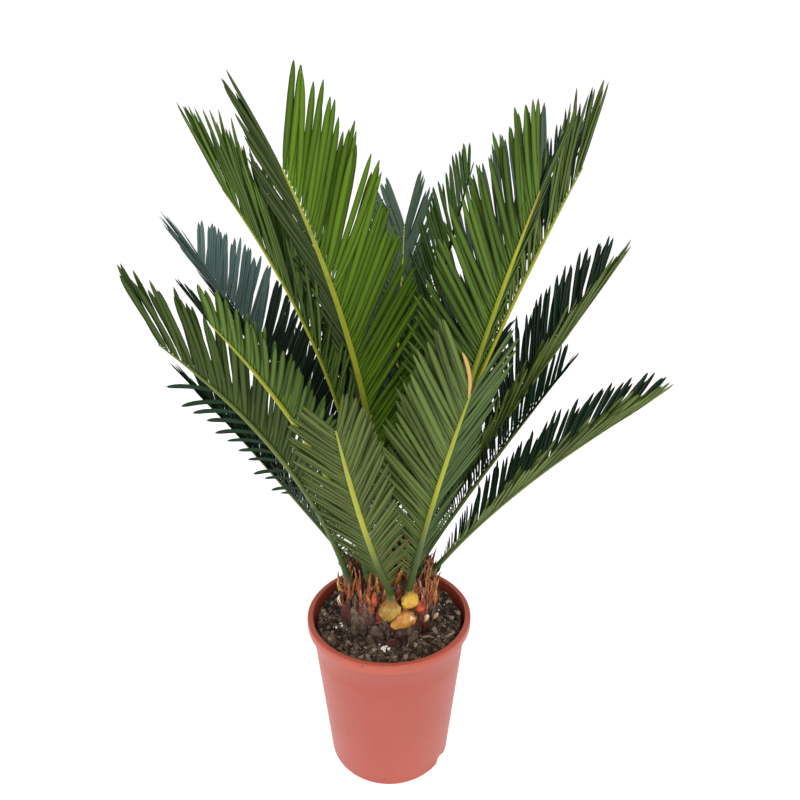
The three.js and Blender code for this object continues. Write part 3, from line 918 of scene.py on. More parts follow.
def frond_frame(frond, shares):
    """Directions along the stem, across it and out of its upper face, at shares of its length."""
    shares = np.asarray(shares, float)
    bearing = np.radians(frond["bearing"] + frond["swing"] * shares)
    lean = np.radians(mix(*frond["lean"], shares))
    level = np.zeros_like(shares)
    along = np.stack([np.sin(lean) * np.cos(bearing), np.sin(lean) * np.sin(bearing), np.cos(lean)], -1)
    side = np.stack([-np.sin(bearing), np.cos(bearing), level], -1)
    face = np.cross(along, side)
    roll = np.radians(frond["roll"] * shares)[..., None]
    return along, side * np.cos(roll) + face * np.sin(roll), face * np.cos(roll) - side * np.sin(roll)


def frond_course(frond, shares):
    """Points of the stem: the sum of its directions from the foot up."""
    shares = np.asarray(shares, float)
    middles = (np.arange(COURSE_STEPS) + 0.5) / COURSE_STEPS
    along = frond_frame(frond, np.multiply.outer(shares, middles))[0]
    seat = math.radians(frond["seat"])
    foot = np.array([frond["radius"] * math.cos(seat), frond["radius"] * math.sin(seat), frond["height"]])
    return foot + along.mean(axis=-2) * (shares * frond["length"])[..., None]


tips = {name: frond_course(frond, 1.0).round().tolist() for name, frond in FRONDS.items()}
print("highest stem tip:", max(tip[2] for tip in tips.values()), "mm")

# %% [markdown]
# ## Fronds: stems
#
# The lower fifth is the petiole, a bare green stalk. Above it the rachis is yellow-green and tapers
# to a thread. A curve with a bevel would be quick, but it has one round section; here each ring is
# broad and flat-backed, as a sago palm's is, and carries its share of the length as its mark. The
# finish runs through four colours by that mark. Low fronds keep a dull olive, and one has browned.

# %% Stems: shape
STEM_SIDES = 12
STEM_RINGS = 46
STEM_START = -0.012  # the first ring is sunk in the leaf base
STEM_RADII = ([0, 0.05, 0.2, 0.5, 0.8, 1], [4.6, 4.0, 3.0, 2.5, 1.9, 0.6])


def build_stem(name, materials):
    """One stem. Its mark is the share of its length."""
    frond = FRONDS[name]
    shares = np.linspace(STEM_START, 1, STEM_RINGS)
    along, side, face = frond_frame(frond, shares)
    course = frond_course(frond, shares)
    angle = round_angles(STEM_SIDES)[None, :, None]
    radius = np.interp(shares, *STEM_RADII)[:, None, None] * math.sqrt(frond["length"] / 300)
    across = side[:, None] * np.cos(angle)
    out = face[:, None] * np.sin(angle) * np.where(np.sin(angle) > 0, 0.62, 0.9)
    stem = Batch()
    marks = np.repeat(np.clip(shares, 0, 1), STEM_SIDES)
    stem.add_tube(course[:, None] + radius * (across + out), 0, marks)
    return stem.build("stem_" + name, materials, "frond_" + name, sharp=70)


print("stem radii, mm:", STEM_RADII[1])


# %% Stems: finish
def stem_finish(name, foot, petiole, rachis, tip, ends=(0.02, 0.26, 0.58, 1.0)):
    """A smooth green stem that pales along its length."""
    material, tree, shader = new_material(name, shine=0.25)
    ramp = add_node(tree, "ShaderNodeValToRGB", {"Fac": mark_of(tree)})
    stops = ramp.color_ramp.elements
    for _ in range(2):
        stops.new(0.5)
    for stop, place, colour in zip(stops, ends, (foot, petiole, rachis, tip)):
        stop.position = place
        stop.color = colour
    patched = mix_colours(tree, patches(tree, 90, 0.58, 1.1), ramp.outputs["Color"], petiole)
    tree.links.new(patched, shader.inputs["Base Color"])
    tree.links.new(between(tree, grain(tree, 420, 8), 0.35, 0.6), shader.inputs["Roughness"])
    bump(tree, shader, grain(tree, 900, 12), strength=0.4, millimetres=0.25)
    return material


STEM_FOOT = rgb(52, 74, 26)
STEM_GREEN = rgb(70, 88, 36)
STEM_YELLOW = rgb(160, 164, 34)
stem_plain = stem_finish("stem_green", STEM_FOOT, STEM_GREEN, STEM_YELLOW, rgb(146, 156, 52))
stem_browned = stem_finish(
    "stem_browned", STEM_FOOT, STEM_GREEN, STEM_YELLOW, rgb(158, 130, 48), (0.02, 0.26, 0.88, 1.0)
)
stem_olive = stem_finish("stem_olive", STEM_FOOT, rgb(84, 98, 48), rgb(104, 118, 54), rgb(104, 118, 56))
OLIVE_STEMS = ("left_low", "left_lowest", "right_low", "right_middle", "right_thin")
STEM_FINISHES = {"right_tall": stem_browned, **dict.fromkeys(OLIVE_STEMS, stem_olive)}
for name in FRONDS:
    build_stem(name, [STEM_FINISHES.get(name, stem_plain)])

# %% [markdown]
# ## Fronds: leaflets
#
# A leaflet is a stiff strap about five millimetres wide. Its margins roll under, a rib runs along its
# back, its foot is pinched and its tip is a dark spine. Flat cards with a picture of a leaf are the
# usual shortcut, but they vanish edge-on, and here the rows are seen edge-on everywhere. So each
# leaflet is a thin closed strap: a ring of eight points, skinned along its length. All leaflets of
# a frond are computed at once, as one array, which keeps thousands of them quick.

# %% Leaflets: section, outline and layout
LEAF_RING = np.array(
    [(-1, -0.34), (-0.55, 0.06), (0, -0.1), (0.55, 0.06), (1, -0.34), (0.7, -0.2), (0, -0.46), (-0.7, -0.2)]
)
# the dark margins and grooves are a painted shade between overlapping leaflets; the pale rib is partly its
# own colour, partly a painted highlight
LEAF_RING_MARKS = np.array([0, 0.7, 0.2, 0.7, 0, 0.6, 1, 0.6])  # darkest on the margins, pale on the rib
LEAF_UPPER_WALLS = 4  # the first walls of a ring are the upper side
LEAF_SHARES = np.array([0, 0.05, 0.14, 0.3, 0.5, 0.7, 0.84, 0.93, 0.98, 1])
LEAF_OUTLINE = (
    [0, 0.05, 0.14, 0.3, 0.7, 0.84, 0.93, 0.98, 1],
    [0.4, 0.46, 0.78, 1, 1, 0.88, 0.6, 0.27, 0.04],
)
LEAF_PITCHES = (3.6, 5.5)  # from one pair to the next, at the lowest pair and at the tip
LEAF_WIDTH = 4.7
LEAF_WIDTHS = ([0, 0.15, 0.4, 0.7, 1], [0.5, 0.68, 0.92, 1, 0.9])
LEAF_LENGTHS = ([0, 0.12, 0.35, 0.6], [0.45, 0.7, 0.9, 1])  # above that they fade to the tip
LEAF_BEND = (-20, 4)  # curve within the row: outwards at the foot of the frond, forwards above
LEAF_ARCH = 0.035  # how far a leaflet's tip bows towards the under side, per length
SPINE_FROM = 0.3  # bare below this share of the petiole; then short spines begin
MEAN_PITCH = sum(LEAF_PITCHES) / 2
SHARE_JITTER = 0.0015
LAST_SHARE = 0.997  # the last pair stands just short of the stem's tip
print("leaflet stations:", len(LEAF_SHARES))


# %% Leaflets: straps
def leaf_straps(frond, share, row, length, width, sweep, bend, lift):
    """Rings of many leaflets at once: an array of (leaflets, rings, 8, 3)."""
    along, side, face = frond_frame(frond, share)
    row = row[:, None]
    vee = np.radians(frond["vee"] + np.where(row > 0, *frond["rise"]) + lift[:, None])
    out = row * side * np.cos(vee) + face * np.sin(vee)  # square to the stem, in the row's plane
    upper = row * np.cross(along, out)
    turn = np.radians(sweep[:, None] + bend[:, None] * (0.5 - LEAF_SHARES))[..., None]
    heading = along[:, None] * np.cos(turn) + out[:, None] * np.sin(turn)
    forward = along[:, None] * np.sin(turn) - out[:, None] * np.cos(turn)
    hop = np.diff(LEAF_SHARES)[None, :, None] * length[:, None, None]
    course = np.zeros((len(share), len(LEAF_SHARES), 3))
    course[:, 1:] = np.cumsum((heading[:, :-1] + heading[:, 1:]) / 2 * hop, axis=1)
    course += frond_course(frond, share)[:, None] + out[:, None] * 0.8
    course -= upper[:, None] * (LEAF_ARCH * length[:, None] * LEAF_SHARES**2)[..., None]
    tilt = math.radians(frond["tilt"])  # turns the section about the leaflet's own length
    across = forward * math.cos(tilt) + upper[:, None] * math.sin(tilt)
    thick = upper[:, None] * math.cos(tilt) - forward * math.sin(tilt)
    half = (width[:, None] / 2 * np.interp(LEAF_SHARES, *LEAF_OUTLINE))[..., None, None]
    ring = across[:, :, None] * LEAF_RING[:, :1] + thick[:, :, None] * LEAF_RING[:, 1:]
    return course[:, :, None] + half * ring


print("a leaflet has", len(tube_faces(len(LEAF_SHARES), len(LEAF_RING))), "faces")

# %% [markdown]
# Pairs stand closer at the foot of the blade than at its tip, and shrink to short spines down the
# petiole. An array modifier could only repeat one leaflet at one distance, so a loop places each.


# %% Leaflets: where they stand
def leaf_rows(frond, chance):
    """Share, row, length, width, sweep, bend and lift of every leaflet of a frond."""
    petiole = frond["petiole"]
    low, high = LEAF_PITCHES
    pairs = round(frond["crowd"] * (1 - petiole) * frond["length"] / MEAN_PITCH)
    spines = round(petiole * (1 - SPINE_FROM) * frond["length"] / low)
    rows = []
    for i in range(-spines, pairs + 1):
        u = i / pairs
        at = max(u, 0) * (low + (high - low) * max(u, 0) / 2) / MEAN_PITCH
        for row in (1, -1):
            low_end, high_end = frond["second_span"]
            if row < 0 and (i % frond["second_keep"] or not low_end < at <= high_end):
                continue
            share = mix(petiole, 1, at) if i >= 0 else petiole + i * low / frond["length"]
            share = min(share + chance.uniform(-SHARE_JITTER, SHARE_JITTER), LAST_SHARE)
            small = mix(0.12, 1, (i + spines) / spines) if i < 0 else 1
            length = frond["leaf"] * np.interp(at, *LEAF_LENGTHS) ** frond["even"] * small
            length *= chance.uniform(0.93, 1.04)
            length *= mix(1, frond["fade"], max(0, (at - 0.6) / 0.4) ** 2.5)
            length *= 1 if row > 0 else frond["second"]
            width = frond["broad"] * LEAF_WIDTH * np.interp(at, *LEAF_WIDTHS) * mix(0.3, 1, small)
            width *= chance.uniform(0.88, 1.1) * (1 if row > 0 else frond["second_broad"])
            sweeps = frond["sweep"] if row > 0 else frond["second_sweep"] or frond["sweep"]
            sweep = mix(*sweeps, at) + chance.uniform(-4.5, 4.5) * frond["loose"]
            bend = mix(*LEAF_BEND, min(at * 2.2, 1)) + chance.uniform(-5, 5) * frond["loose"]
            bend += 0 if row > 0 else frond["second_bend"]
            rows.append((share, row, length, width, sweep, bend, chance.uniform(-6, 6) * frond["loose"]))
    return np.array(rows).T


print("pitches, mm:", LEAF_PITCHES)


# %% Leaflets: one mesh for each frond
def strap_slots(upper, under):
    """Material numbers of a strap's faces: upper and under side as given, tip 3."""
    sides = [upper if wall < LEAF_UPPER_WALLS else under for wall in range(len(LEAF_RING))]
    walls = sides * (len(LEAF_SHARES) - 2) + [3] * len(LEAF_RING)
    return walls + [under, 3]


def build_leaflets(name, materials):
    """All leaflets of one frond. Materials: upper side, under side of each row, tip, shaded upper side."""
    frond = FRONDS[name]
    chance = random.Random(name)
    layout = leaf_rows(frond, chance)
    leaflets = Batch()
    for strap, share, side in zip(leaf_straps(frond, *layout), *layout[:2]):
        marks = np.clip(LEAF_RING_MARKS * chance.uniform(0.6, 1.12) + chance.uniform(-0.05, 0.1), 0, 1)
        slots = strap_slots(4 if share < frond["shaded_to"] else 0, 1 if side > 0 else 2)
        leaflets.add_tube(strap, slots, np.tile(marks, len(LEAF_SHARES)))
    return leaflets.build("leaflets_" + name, materials, "frond_" + name, sharp=55)


print("material numbers of a leaflet's first ring:", strap_slots(0, 1)[: len(LEAF_RING)])


# %% [markdown]
# A leaflet's upper side is dark and waxy and picks up a sheen of the sky; on the back fronds its
# blue-grey tones paint that sheen in. Its under side is paler and matte, from fresh yellow-green on
# young fronds to olive on old ones, with darker tones as a painted shade on fronds low or deep in
# the crown and a lighter one as painted light; its rib is paler still, partly a painted highlight,
# and its dark margins are a painted shade between leaflets. A picture of a leaf would repeat the
# same streaks on every one. Here the colours are plain values, dealt out frond by frond, and leaflet
# by leaflet through the mark; the grain only varies the shine and the surface.


# %% Leaflets: finishes
def leaf_finish(name, dark, pale, low, high, shine):
    """A leathery finish, from dark to pale with the mark, the dark end a painted shade. The grain takes its
    roughness from low to high.
    """
    material, tree, shader = new_material(name, shine=shine)
    tree.links.new(mix_colours(tree, mark_of(tree), dark, pale), shader.inputs["Base Color"])
    tree.links.new(between(tree, grain(tree, 350, 3), low, high), shader.inputs["Roughness"])
    bump(tree, shader, grain(tree, 800, 4), strength=0.35, millimetres=0.15)
    return material


# in each pair the dark end goes on the margins as a painted shade, and the pale end on the rib, partly a
# painted highlight
UPPER_COLOURS = {
    "shade": (rgb(5, 24, 10), rgb(20, 52, 24)),
    # the next two: a painted sheen of the sky, blue-grey on the upper sides of the back fronds
    "slate": (rgb(50, 74, 70), rgb(114, 140, 134)),
    "dusk": (rgb(36, 56, 44), rgb(88, 112, 90)),
    "meadow": (rgb(14, 42, 2), rgb(70, 104, 18)),
}
UNDER_COLOURS = {
    "grey": (rgb(10, 22, 5), rgb(104, 124, 60)),
    "fresh": (rgb(10, 34, 1), rgb(94, 128, 25)),
    "mid": (rgb(8, 24, 3), rgb(90, 119, 40)),
    # painted shade: a darker copy for rows low in the crown
    "dim": (rgb(6, 18, 3), rgb(70, 90, 34)),
    "moss": (rgb(3, 14, 3), rgb(90, 114, 58)),
    # painted light: a lighter copy for rows that face away from the lights
    "sunny": (rgb(16, 30, 8), rgb(106, 124, 58)),
    "olive": (rgb(5, 14, 2), rgb(97, 112, 52)),
    # painted shade: a darker copy for fronds at the back and deep in the crown
    "deep": (rgb(6, 16, 2), rgb(58, 80, 24)),
}
UPPER = {
    tone: leaf_finish("leaf_upper_" + tone, *pair, low=0.3, high=0.46, shine=0.16)
    for tone, pair in UPPER_COLOURS.items()
}
UNDER = {
    tone: leaf_finish("leaf_under_" + tone, *pair, low=0.5, high=0.7, shine=0.14)
    for tone, pair in UNDER_COLOURS.items()
}
LEAF_TIP = leaf_finish("leaf_tip", rgb(34, 40, 20), rgb(66, 70, 38), low=0.5, high=0.7, shine=0.2)
for name, frond in FRONDS.items():
    first = UNDER[frond["under"]]
    second = {**UPPER, **UNDER}[frond["second_under"] or frond["under"]]
    shaded = [UPPER["shade"]] if frond["shaded_to"] else []
    build_leaflets(name, [UPPER[frond["upper"]], first, second, LEAF_TIP, *shaded])

# %% [markdown]
# One leaflet near the tip of the right front frond has died and dried to a tan strap, and four at the
# lower left have gone limp and hang. All are grown by the same function as the living ones, from a
# few rows of their own, so they keep a leaflet's section and only their course is different.


# %% Leaflets: the dried one and the limp ones
def odd_leaflets(name, frond, rows, material):
    """Leaflets of the second row, from their share, length, width, sweep, bend and lift."""
    share, length, width, sweep, bend, lift = np.array(rows, float).T
    straps = Batch()
    for rings in leaf_straps(FRONDS[frond], share, -np.ones(len(share)), length, width, sweep, bend, lift):
        straps.add_tube(rings, 0, np.tile(LEAF_RING_MARKS, len(LEAF_SHARES)))
    return straps.build(name, [material], "frond_" + frond, sharp=55)


leaf_dried = leaf_finish("leaf_dried", rgb(142, 106, 54), rgb(206, 172, 104), low=0.6, high=0.8, shine=0.2)
odd_leaflets("leaflet_dried", "front_right", [(0.985, 48, 3.2, 20, -30, -24)], leaf_dried)
LIMP_ROWS = [
    (0.3, 17, 3.6, 150, 20, 0),
    (0.33, 22, 3.6, 156, 20, 0),
    (0.37, 25, 3.6, 150, 20, 0),
    (0.4, 20, 3.6, 144, 20, 0),
]
odd_leaflets("leaflets_hanging", "left_low", LIMP_ROWS, UPPER["shade"])

# %% [markdown]
# ## Crown: leaf bases and sheath leaves
#
# Each petiole swells into a wedge-shaped base where it joins the trunk. On the two front fronds that
# base is bare and bright yellow. Between the petioles stand sheath leaves: narrow, hairy, orange to
# brown, and hard at the tip. They are what makes a sago palm's crown look woolly.

# %% Crown: leaf bases
# distance from the frond's foot along its stem, half width, half thickness
LEAF_BASE = np.array([
    (-31, 4, 3), (-25, 8, 5), (-17, 9.5, 6), (-9, 9, 6), (-3, 6.6, 5.2), (3, 5.2, 4.6), (6, 4.2, 3.8)
])
LEAF_BASE_SIDES = 16


def build_leaf_bases(materials):
    """A swollen wedge under the petioles that grow from between the sheath leaves."""
    bases = Batch()
    angle = round_angles(LEAF_BASE_SIDES)[None, :, None]
    reach, wide, thick = (column[:, None, None] for column in LEAF_BASE.T)
    for name, frond in FRONDS.items():
        if name.startswith("front"):
            continue  # their bases are bare, and have shapes of their own
        along, side, face = (direction[None, None] for direction in frond_frame(frond, 0.0))
        foot = frond_course(frond, 0.0)
        rings = foot + along * reach + side * np.cos(angle) * wide + face * np.sin(angle) * thick
        bases.add_tube(rings, 0, np.repeat(np.linspace(0, 1, len(LEAF_BASE)), LEAF_BASE_SIDES))
    return bases.build("leaf_bases", materials, "caudex", sharp=70)


base_olive = bark(
    "base_olive", rgb(116, 74, 38), rgb(84, 98, 44), rgb(84, 46, 30), rough=0.6, patch_scale=160, relief=0.3
)
build_leaf_bases([base_olive])

# %% [markdown]
# The two front fronds grow from the outside of the bulb, so their bases are bare. Each one is a
# bent tube whose stations are given on the bulb, as bearing, radius and height: green where the
# petiole ends, then swollen and yellow. A third base beside them has lost its frond to a pruning
# cut, and shows the pale cut end; two small stubs are all that is left of older ones. Metaballs
# would give soft lumps too, but they can't be placed to the millimetre or carry a mark.


# %% Crown: a bent tube
KNUCKLE_SIDES = 18


def add_knuckle(batch, stations, slot):
    """A bent tube through stations of (bearing, radius, z, half width, half thickness, mark)."""
    bearing, radius, z, wide, thick, mark = np.array(stations, float).T
    bearing = np.radians(bearing)
    course = np.stack([radius * np.cos(bearing), radius * np.sin(bearing), z], -1)
    across = np.stack([-np.sin(bearing), np.cos(bearing), 0 * bearing], -1)
    ahead = np.gradient(course, axis=0)
    out = np.cross(ahead, across)
    out /= np.linalg.norm(out, axis=1)[:, None]
    angle = round_angles(KNUCKLE_SIDES)
    square = [np.sign(turned(angle)) * np.abs(turned(angle)) ** 0.75 for turned in (np.cos, np.sin)]
    shift = dice.uniform(0, 50)
    rings = []
    for centre, a, o, w, t in zip(course, across, out, wide, thick):
        spots = [Vector((math.cos(q) * 1.6, math.sin(q) * 1.6, centre[2] / 4 + shift)) for q in angle]
        swell = [1 + 0.75 * noise.noise(spot) for spot in spots]
        rings.append(centre + np.outer(square[0] * w * swell, a) + np.outer(square[1] * t * swell, o))
    batch.add_tube(rings, slot, np.repeat(mark, KNUCKLE_SIDES))


print("a bent tube has", KNUCKLE_SIDES, "sides")

# %% Crown: bare leaf bases
# the number of each one's finish, and its stations
BARE_BASES = [
    # the base of the left front frond, yellow-olive
    (0, [
        (-88, 49.6, 242, 4.4, 3.9, 1), (-88.3, 51.5, 236, 4.5, 4, 1), (-89, 53, 232, 6.4, 4.3, 0.7),
        (-90, 54, 227.5, 10, 4.6, 0.1), (-91.4, 54.3, 221, 10.6, 4.6, 0), (-92.4, 53.5, 214, 7, 4, 0),
        (-92, 51, 206, 1.6, 1.5, -0.6),
    ]),
    # the base of the right front frond, clear yellow
    (1, [
        (-64, 49, 243, 4.3, 3.8, 1), (-64.3, 50.2, 238.5, 4.6, 4, 0.9), (-65.3, 52, 235.5, 9.4, 4.2, 0.1),
        (-66, 53.5, 231.5, 11.4, 4.6, 0), (-64.6, 53.4, 226, 7.6, 4, 0), (-63.4, 51, 219, 1.6, 1.5, -0.6),
    ]),
    # the cut base, a broad shield
    (2, [
        (-72.5, 50, 217.5, 5, 2.5, 0), (-72.8, 54.5, 215, 9, 4.5, 0), (-73.4, 57, 210.5, 12.5, 5, 0),
        (-73.8, 56.6, 205, 11.5, 4.6, 0), (-74, 54, 200.5, 6, 2.6, -0.4), (-74, 51, 198, 2, 1, -0.8),
    ]),
    # its pale cut end
    (3, [
        (-68.3, 55, 210.5, 3.4, 3.2, -0.7), (-68.3, 58.8, 213, 3.6, 3.4, 0),
        (-68.3, 60.2, 214.2, 3.1, 2.9, 1), (-68.3, 60.5, 214.5, 1, 1, 1),
    ]),
    # a red knob and a red tip
    (4, [
        (-52.7, 49, 225, 2.5, 2, 0), (-52.7, 53.5, 223, 4.6, 3.4, 0), (-52.7, 55.6, 218.5, 5.4, 4, 0.4),
        (-52.7, 54.5, 213.5, 3.6, 2.8, 0), (-52.7, 51, 211, 1, 1, -0.5),
    ]),
    (4, [
        (-108, 49, 241, 1, 1, 1), (-108, 51.5, 237.5, 2.8, 2, 1), (-107.8, 53, 232, 4, 2.6, 0),
        (-107.5, 52, 226, 3, 2, -0.5),
    ]),
    # two stubs
    (3, [
        (-45.5, 51, 198, 3, 2.6, -0.5), (-45.5, 57, 201.5, 3.2, 3.4, -0.2),
        (-45.5, 59.2, 206.5, 2.8, 2.4, 0.4), (-45.6, 59.4, 208, 1, 0.8, 1),
    ]),
    (3, [
        (-24.4, 50, 189.5, 2.4, 2, -0.5), (-24.4, 57, 191.5, 2.4, 2.4, 0),
        (-24.6, 59.6, 196.5, 1.7, 1.6, 0.6), (-24.8, 60, 198, 0.6, 0.6, 1),
    ]),
    # a dry hooked tip beside the lowest frond on the right
    (5, [
        (-11, 46, 230, 3, 2.4, 0), (-11, 50, 236, 2.8, 2, 0), (-10, 54, 240.5, 2, 1.6, 0.4),
        (-9.5, 57.5, 244, 1.7, 1.3, 1), (-9.5, 58.8, 247.5, 0.8, 0.8, 1), (-9, 60, 251.5, 0.7, 0.6, 1),
        (-9, 59.6, 253.5, 0.3, 0.3, 1),
    ]),
    # pale flakes on the left flank
    (3, [
        (-176, 50, 222, 1.5, 1, 0), (-176, 57, 227, 3, 1.6, 0.3), (-177, 58.5, 233, 2.4, 1.2, 0.6),
        (-178, 58, 238, 0.5, 0.4, 0.6),
    ]),
    (6, [
        (-166, 50, 219, 2, 1, 0), (-166, 57.5, 224, 3.6, 1.8, 0.3), (-166, 59, 231, 3, 1.4, 0.6),
        (-166, 58, 236, 0.6, 0.4, 0.6),
    ]),
    (3, [
        (-160, 52, 205, 1, 1, 0), (-160, 58.5, 209, 2, 1.2, 0.6), (-161, 60, 215, 1.6, 0.8, 1),
        (-161, 59, 219, 0.4, 0.3, 1),
    ]),
    (3, [
        (-168, 52, 198, 1, 1, 0), (-168, 58.5, 202, 1.8, 1.2, 0.6), (-169, 60, 208, 1.4, 0.8, 1),
        (-169, 59, 211, 0.4, 0.3, 1),
    ]),
]
knuckles = Batch()
for slot, stations in BARE_BASES:
    add_knuckle(knuckles, stations, slot)
print("bare bases, stubs and flakes:", len(BARE_BASES))

# %% [markdown]
# A living base is fleshy and a little glossy, like the skin of a fruit, and it browns in streaks;
# where it meets the bulb a painted shade darkens it. It takes the same patches and grain as the
# bark, with softer relief.


# %% Crown: finish of the bare bases
def waxy(name, low, high, patch):
    """A smooth fleshy finish that runs from low to high with the mark, with a painted shade where it is below
    zero.
    """
    material, tree, shader = new_material(name, roughness=0.42, shine=0.4)
    mark = mark_of(tree)
    colour = mix_colours(tree, mark, low, high)
    colour = mix_colours(tree, patches(tree, 150, 0.42, 0.7), colour, patch)
    streaks = share_of(tree, grain(tree, 360, 4), 0.5, 0.85)
    colour = mix_colours(tree, streaks, colour, rgb(112, 52, 26))
    # painted shade: darker brown where the mark is below zero, at the foot of each base against the bulb
    colour = mix_colours(tree, share_of(tree, mark, 0.0, -0.6), colour, rgb(96, 40, 22))
    tree.links.new(colour, shader.inputs["Base Color"])
    bump(tree, shader, grain(tree, 260, 2), strength=0.9, millimetres=1.0)
    return material


bare_materials = [
    waxy("base_citron", rgb(182, 152, 66), rgb(52, 76, 24), rgb(150, 100, 48)),
    waxy("base_yellow", rgb(222, 184, 70), rgb(84, 104, 34), rgb(206, 146, 54)),
    waxy("base_cut", rgb(204, 146, 64), rgb(226, 170, 80), rgb(162, 88, 42)),
    waxy("cut_pale", rgb(206, 168, 110), rgb(242, 228, 206), rgb(196, 156, 104)),
    waxy("base_red", rgb(190, 66, 30), rgb(216, 112, 50), rgb(146, 40, 24)),
    waxy("hook_dark", rgb(66, 50, 26), rgb(24, 20, 18), rgb(40, 32, 22)),
    waxy("dried_tan", rgb(206, 146, 66), rgb(226, 178, 104), rgb(190, 124, 54)),
]
knuckles.build("bare_leaf_bases", bare_materials, "caudex", sharp=70)


# %% [markdown]
# Sheath leaves are short, stiff and pointed, with a rounded back. They stand as a skirt on the bulb's
# shoulder and as a thicket between the petioles, and a few have died black. One plane bent in an
# array would give a neat collar; a function that leans, curls and bows each one gives a ragged one.


# %% Crown: one sheath leaf
SHEATH_RINGS = 9
SHEATH_SIDES = 8


def add_sheath(batch, bearing, radius, foot, length, width, lean, slot):
    """A narrow pointed leaf that stands up from the bulb and curls a little."""
    share = np.linspace(0, 1, SHEATH_RINGS)
    angle = round_angles(SHEATH_SIDES)
    turn = math.radians(bearing)
    radial = np.array([math.cos(turn), math.sin(turn), 0])
    across = np.array([-math.sin(turn), math.cos(turn), 0])
    tilt = np.radians(lean + dice.uniform(-10, 10) * share)
    curl = dice.uniform(-6, 6)
    half = width / 2 * np.interp(share, [0, 0.3, 0.7, 1], [0.9, 1, 0.5, 0.04])
    rings = []
    for s, t, h in zip(share, tilt, half):
        up = np.array([0, 0, foot + length * s * math.cos(t)])
        spine = radial * (radius + length * s * math.sin(t)) + up + across * curl * s**2
        out = 0.7 * np.sin(angle) - 0.22 * h * np.cos(angle) ** 2
        rings.append(spine + np.outer(h * np.cos(angle), across) + np.outer(out, radial))
    # margins are marked below zero: a painted shade between the sheath leaves
    margins = np.where(np.abs(np.cos(angle)) > 0.9, -0.7, 0)
    batch.add_tube(rings, slot, np.repeat(share**2, SHEATH_SIDES) + np.tile(margins, SHEATH_RINGS))


print("a sheath leaf has", len(tube_faces(SHEATH_RINGS, SHEATH_SIDES)), "faces")

# %% Crown: sheath leaves
SHOULDER = 110
SKIRT = 60  # the first leaves of the shoulder go all the way round it
THICKET = 90
BARE_BEARINGS = (-90, -66, -73)  # where the bare bases are: nothing grows in front of them
BARE_GAP = 17  # degrees kept clear on either side of each
DEAD_WIDTH = 3.4
# bearing, radius, foot, length and lean of the dead ones
DEAD_LEAVES = [(204, 40, 240, 46, 14), (209, 39, 240, 36, 4), (197, 46, 236, 28, 30), (20, 44, 238, 26, 24)]


def build_sheath_leaves(materials):
    """Sheath leaves: a skirt that hugs the bulb's shoulder, then a thicket up to the centre."""
    sheaths = Batch()
    for i in range(SHOULDER):
        bearing = i * GOLDEN_ANGLE + dice.uniform(-8, 8) if i < SKIRT else dice.uniform(-50, 24)
        foot = mix(214, 234, i / (SKIRT - 1)) if i < SKIRT else dice.uniform(204, 232)
        if min(abs((bearing - b + 180) % 360 - 180) for b in BARE_BEARINGS) < BARE_GAP:
            continue
        radius = float(bulb_radius(foot)) + dice.uniform(1, 3.5)
        length, width = dice.uniform(18, 34), dice.uniform(3.5, 8.5)
        lean = dice.uniform(-6, 6)
        add_sheath(sheaths, bearing, radius, foot, length, width, lean, dice.choice((0, 0, 1, 2, 3)))
    for i in range(THICKET):
        bearing = i * GOLDEN_ANGLE + dice.uniform(-8, 8)
        up = i / (THICKET - 1)
        radius = mix(44, 8, up) + dice.uniform(-2, 2)
        foot = mix(228, 246, up) + dice.uniform(-5, 5)
        length, width = mix(30, 58, up) * dice.uniform(0.8, 1.15), dice.uniform(5, 10)
        add_sheath(sheaths, bearing, radius, foot, length, width, mix(6, 0, up), dice.choice((0, 0, 1, 2)))
    for bearing, radius, foot, length, lean in DEAD_LEAVES:
        add_sheath(sheaths, bearing, radius, foot, length, DEAD_WIDTH, lean, slot=4)
    return sheaths.build("sheath_leaves", materials, "caudex", sharp=60)


sheath_materials = [
    bark("sheath_rust", rgb(156, 78, 40), rgb(206, 150, 96), rgb(104, 48, 30), rough=0.8),
    bark("sheath_brown", rgb(118, 66, 44), rgb(176, 132, 92), rgb(76, 40, 32), rough=0.85),
    bark("sheath_amber", rgb(204, 130, 50), rgb(226, 186, 118), rgb(146, 78, 36), rough=0.75),
    bark("sheath_rose", rgb(158, 92, 72), rgb(212, 164, 132), rgb(108, 50, 42), rough=0.75),
    bark("sheath_dead", rgb(52, 40, 26), rgb(74, 48, 36), rgb(40, 34, 24), rough=0.7),
]
build_sheath_leaves(sheath_materials)

# %% [markdown]
# Loose hairs rub off the sheath leaves and stand about the crown. Hair particles would suit them, but
# they don't reach the exported model, so each hair is a thin strand like the fibres in the mix.

# %% Crown: wool
HAIRS = 380


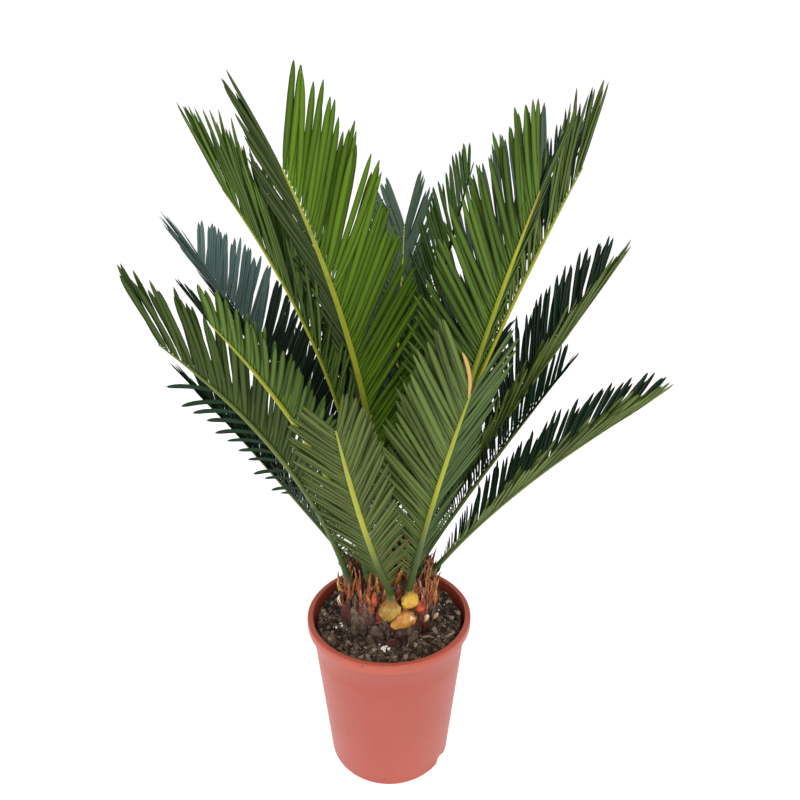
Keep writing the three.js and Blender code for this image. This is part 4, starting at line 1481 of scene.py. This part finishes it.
def build_wool(materials):
    """Loose hairs that stand off the sheath leaves and the upper scales."""
    wool = Batch()
    for _ in range(HAIRS):
        bearing = dice.uniform(0, 2 * math.pi)
        z = dice.uniform(206, 252)
        radius = float(bulb_radius(z)) + dice.uniform(3, 6) if z < 236 else dice.uniform(16, 46)
        length, drift, flare = dice.uniform(7, 22), dice.uniform(-9, 9), dice.uniform(-2, 4)
        points = []
        for s in np.linspace(0, 1, 5):
            r, a = radius + flare * s**1.5, bearing + math.radians(drift * s * 2)
            points.append((r * math.cos(a), r * math.sin(a), z + length * s - 2 * s**2))
        add_strand(wool, points, dice.uniform(0.14, 0.3), dice.choice((0, 0, 1)), sides=3)
    return wool.build("crown_wool", materials, "caudex", sharp=80)


wool_tan = bark("wool_tan", rgb(184, 142, 98), rgb(212, 178, 136), rgb(140, 96, 62), rough=0.9)
build_wool([wool_tan, sheath_materials[0]])

# %% [markdown]
# ## Floor
#
# A plain white floor catches a soft contact shadow. A faint glow of its own keeps it as white as the
# backdrop, where a brighter lamp would wash out the pot. It isn't part of the plant, so it is not
# attached to the plant's body.


# %% Floor
FLOOR_REACH = 30
FLOOR_GLOW = 0.52


def build_floor():
    """A large square at the height that the pot stands on."""
    mesh = bpy.data.meshes.new("floor")
    corners = [(x * FLOOR_REACH, y * FLOOR_REACH, 0) for x, y in ((-1, -1), (1, -1), (1, 1), (-1, 1))]
    mesh.from_pydata(corners, [], [(0, 1, 2, 3)])
    material, tree, shader = new_material("floor_white", roughness=0.9, shine=0.1)
    shader.inputs["Emission Color"].default_value = (1, 1, 1, 1)
    shader.inputs["Emission Strength"].default_value = FLOOR_GLOW
    colour = mix_colours(tree, patches(tree, 3, 0.3, 0.7), rgb(250, 250, 250), rgb(252, 252, 252))
    tree.links.new(colour, shader.inputs["Base Color"])
    mesh.materials.append(material)
    floor = bpy.data.objects.new("floor", mesh)
    scene.collection.objects.link(floor)
    return floor


floor = build_floor()
print("floor is", 2 * FLOOR_REACH, "metres wide")
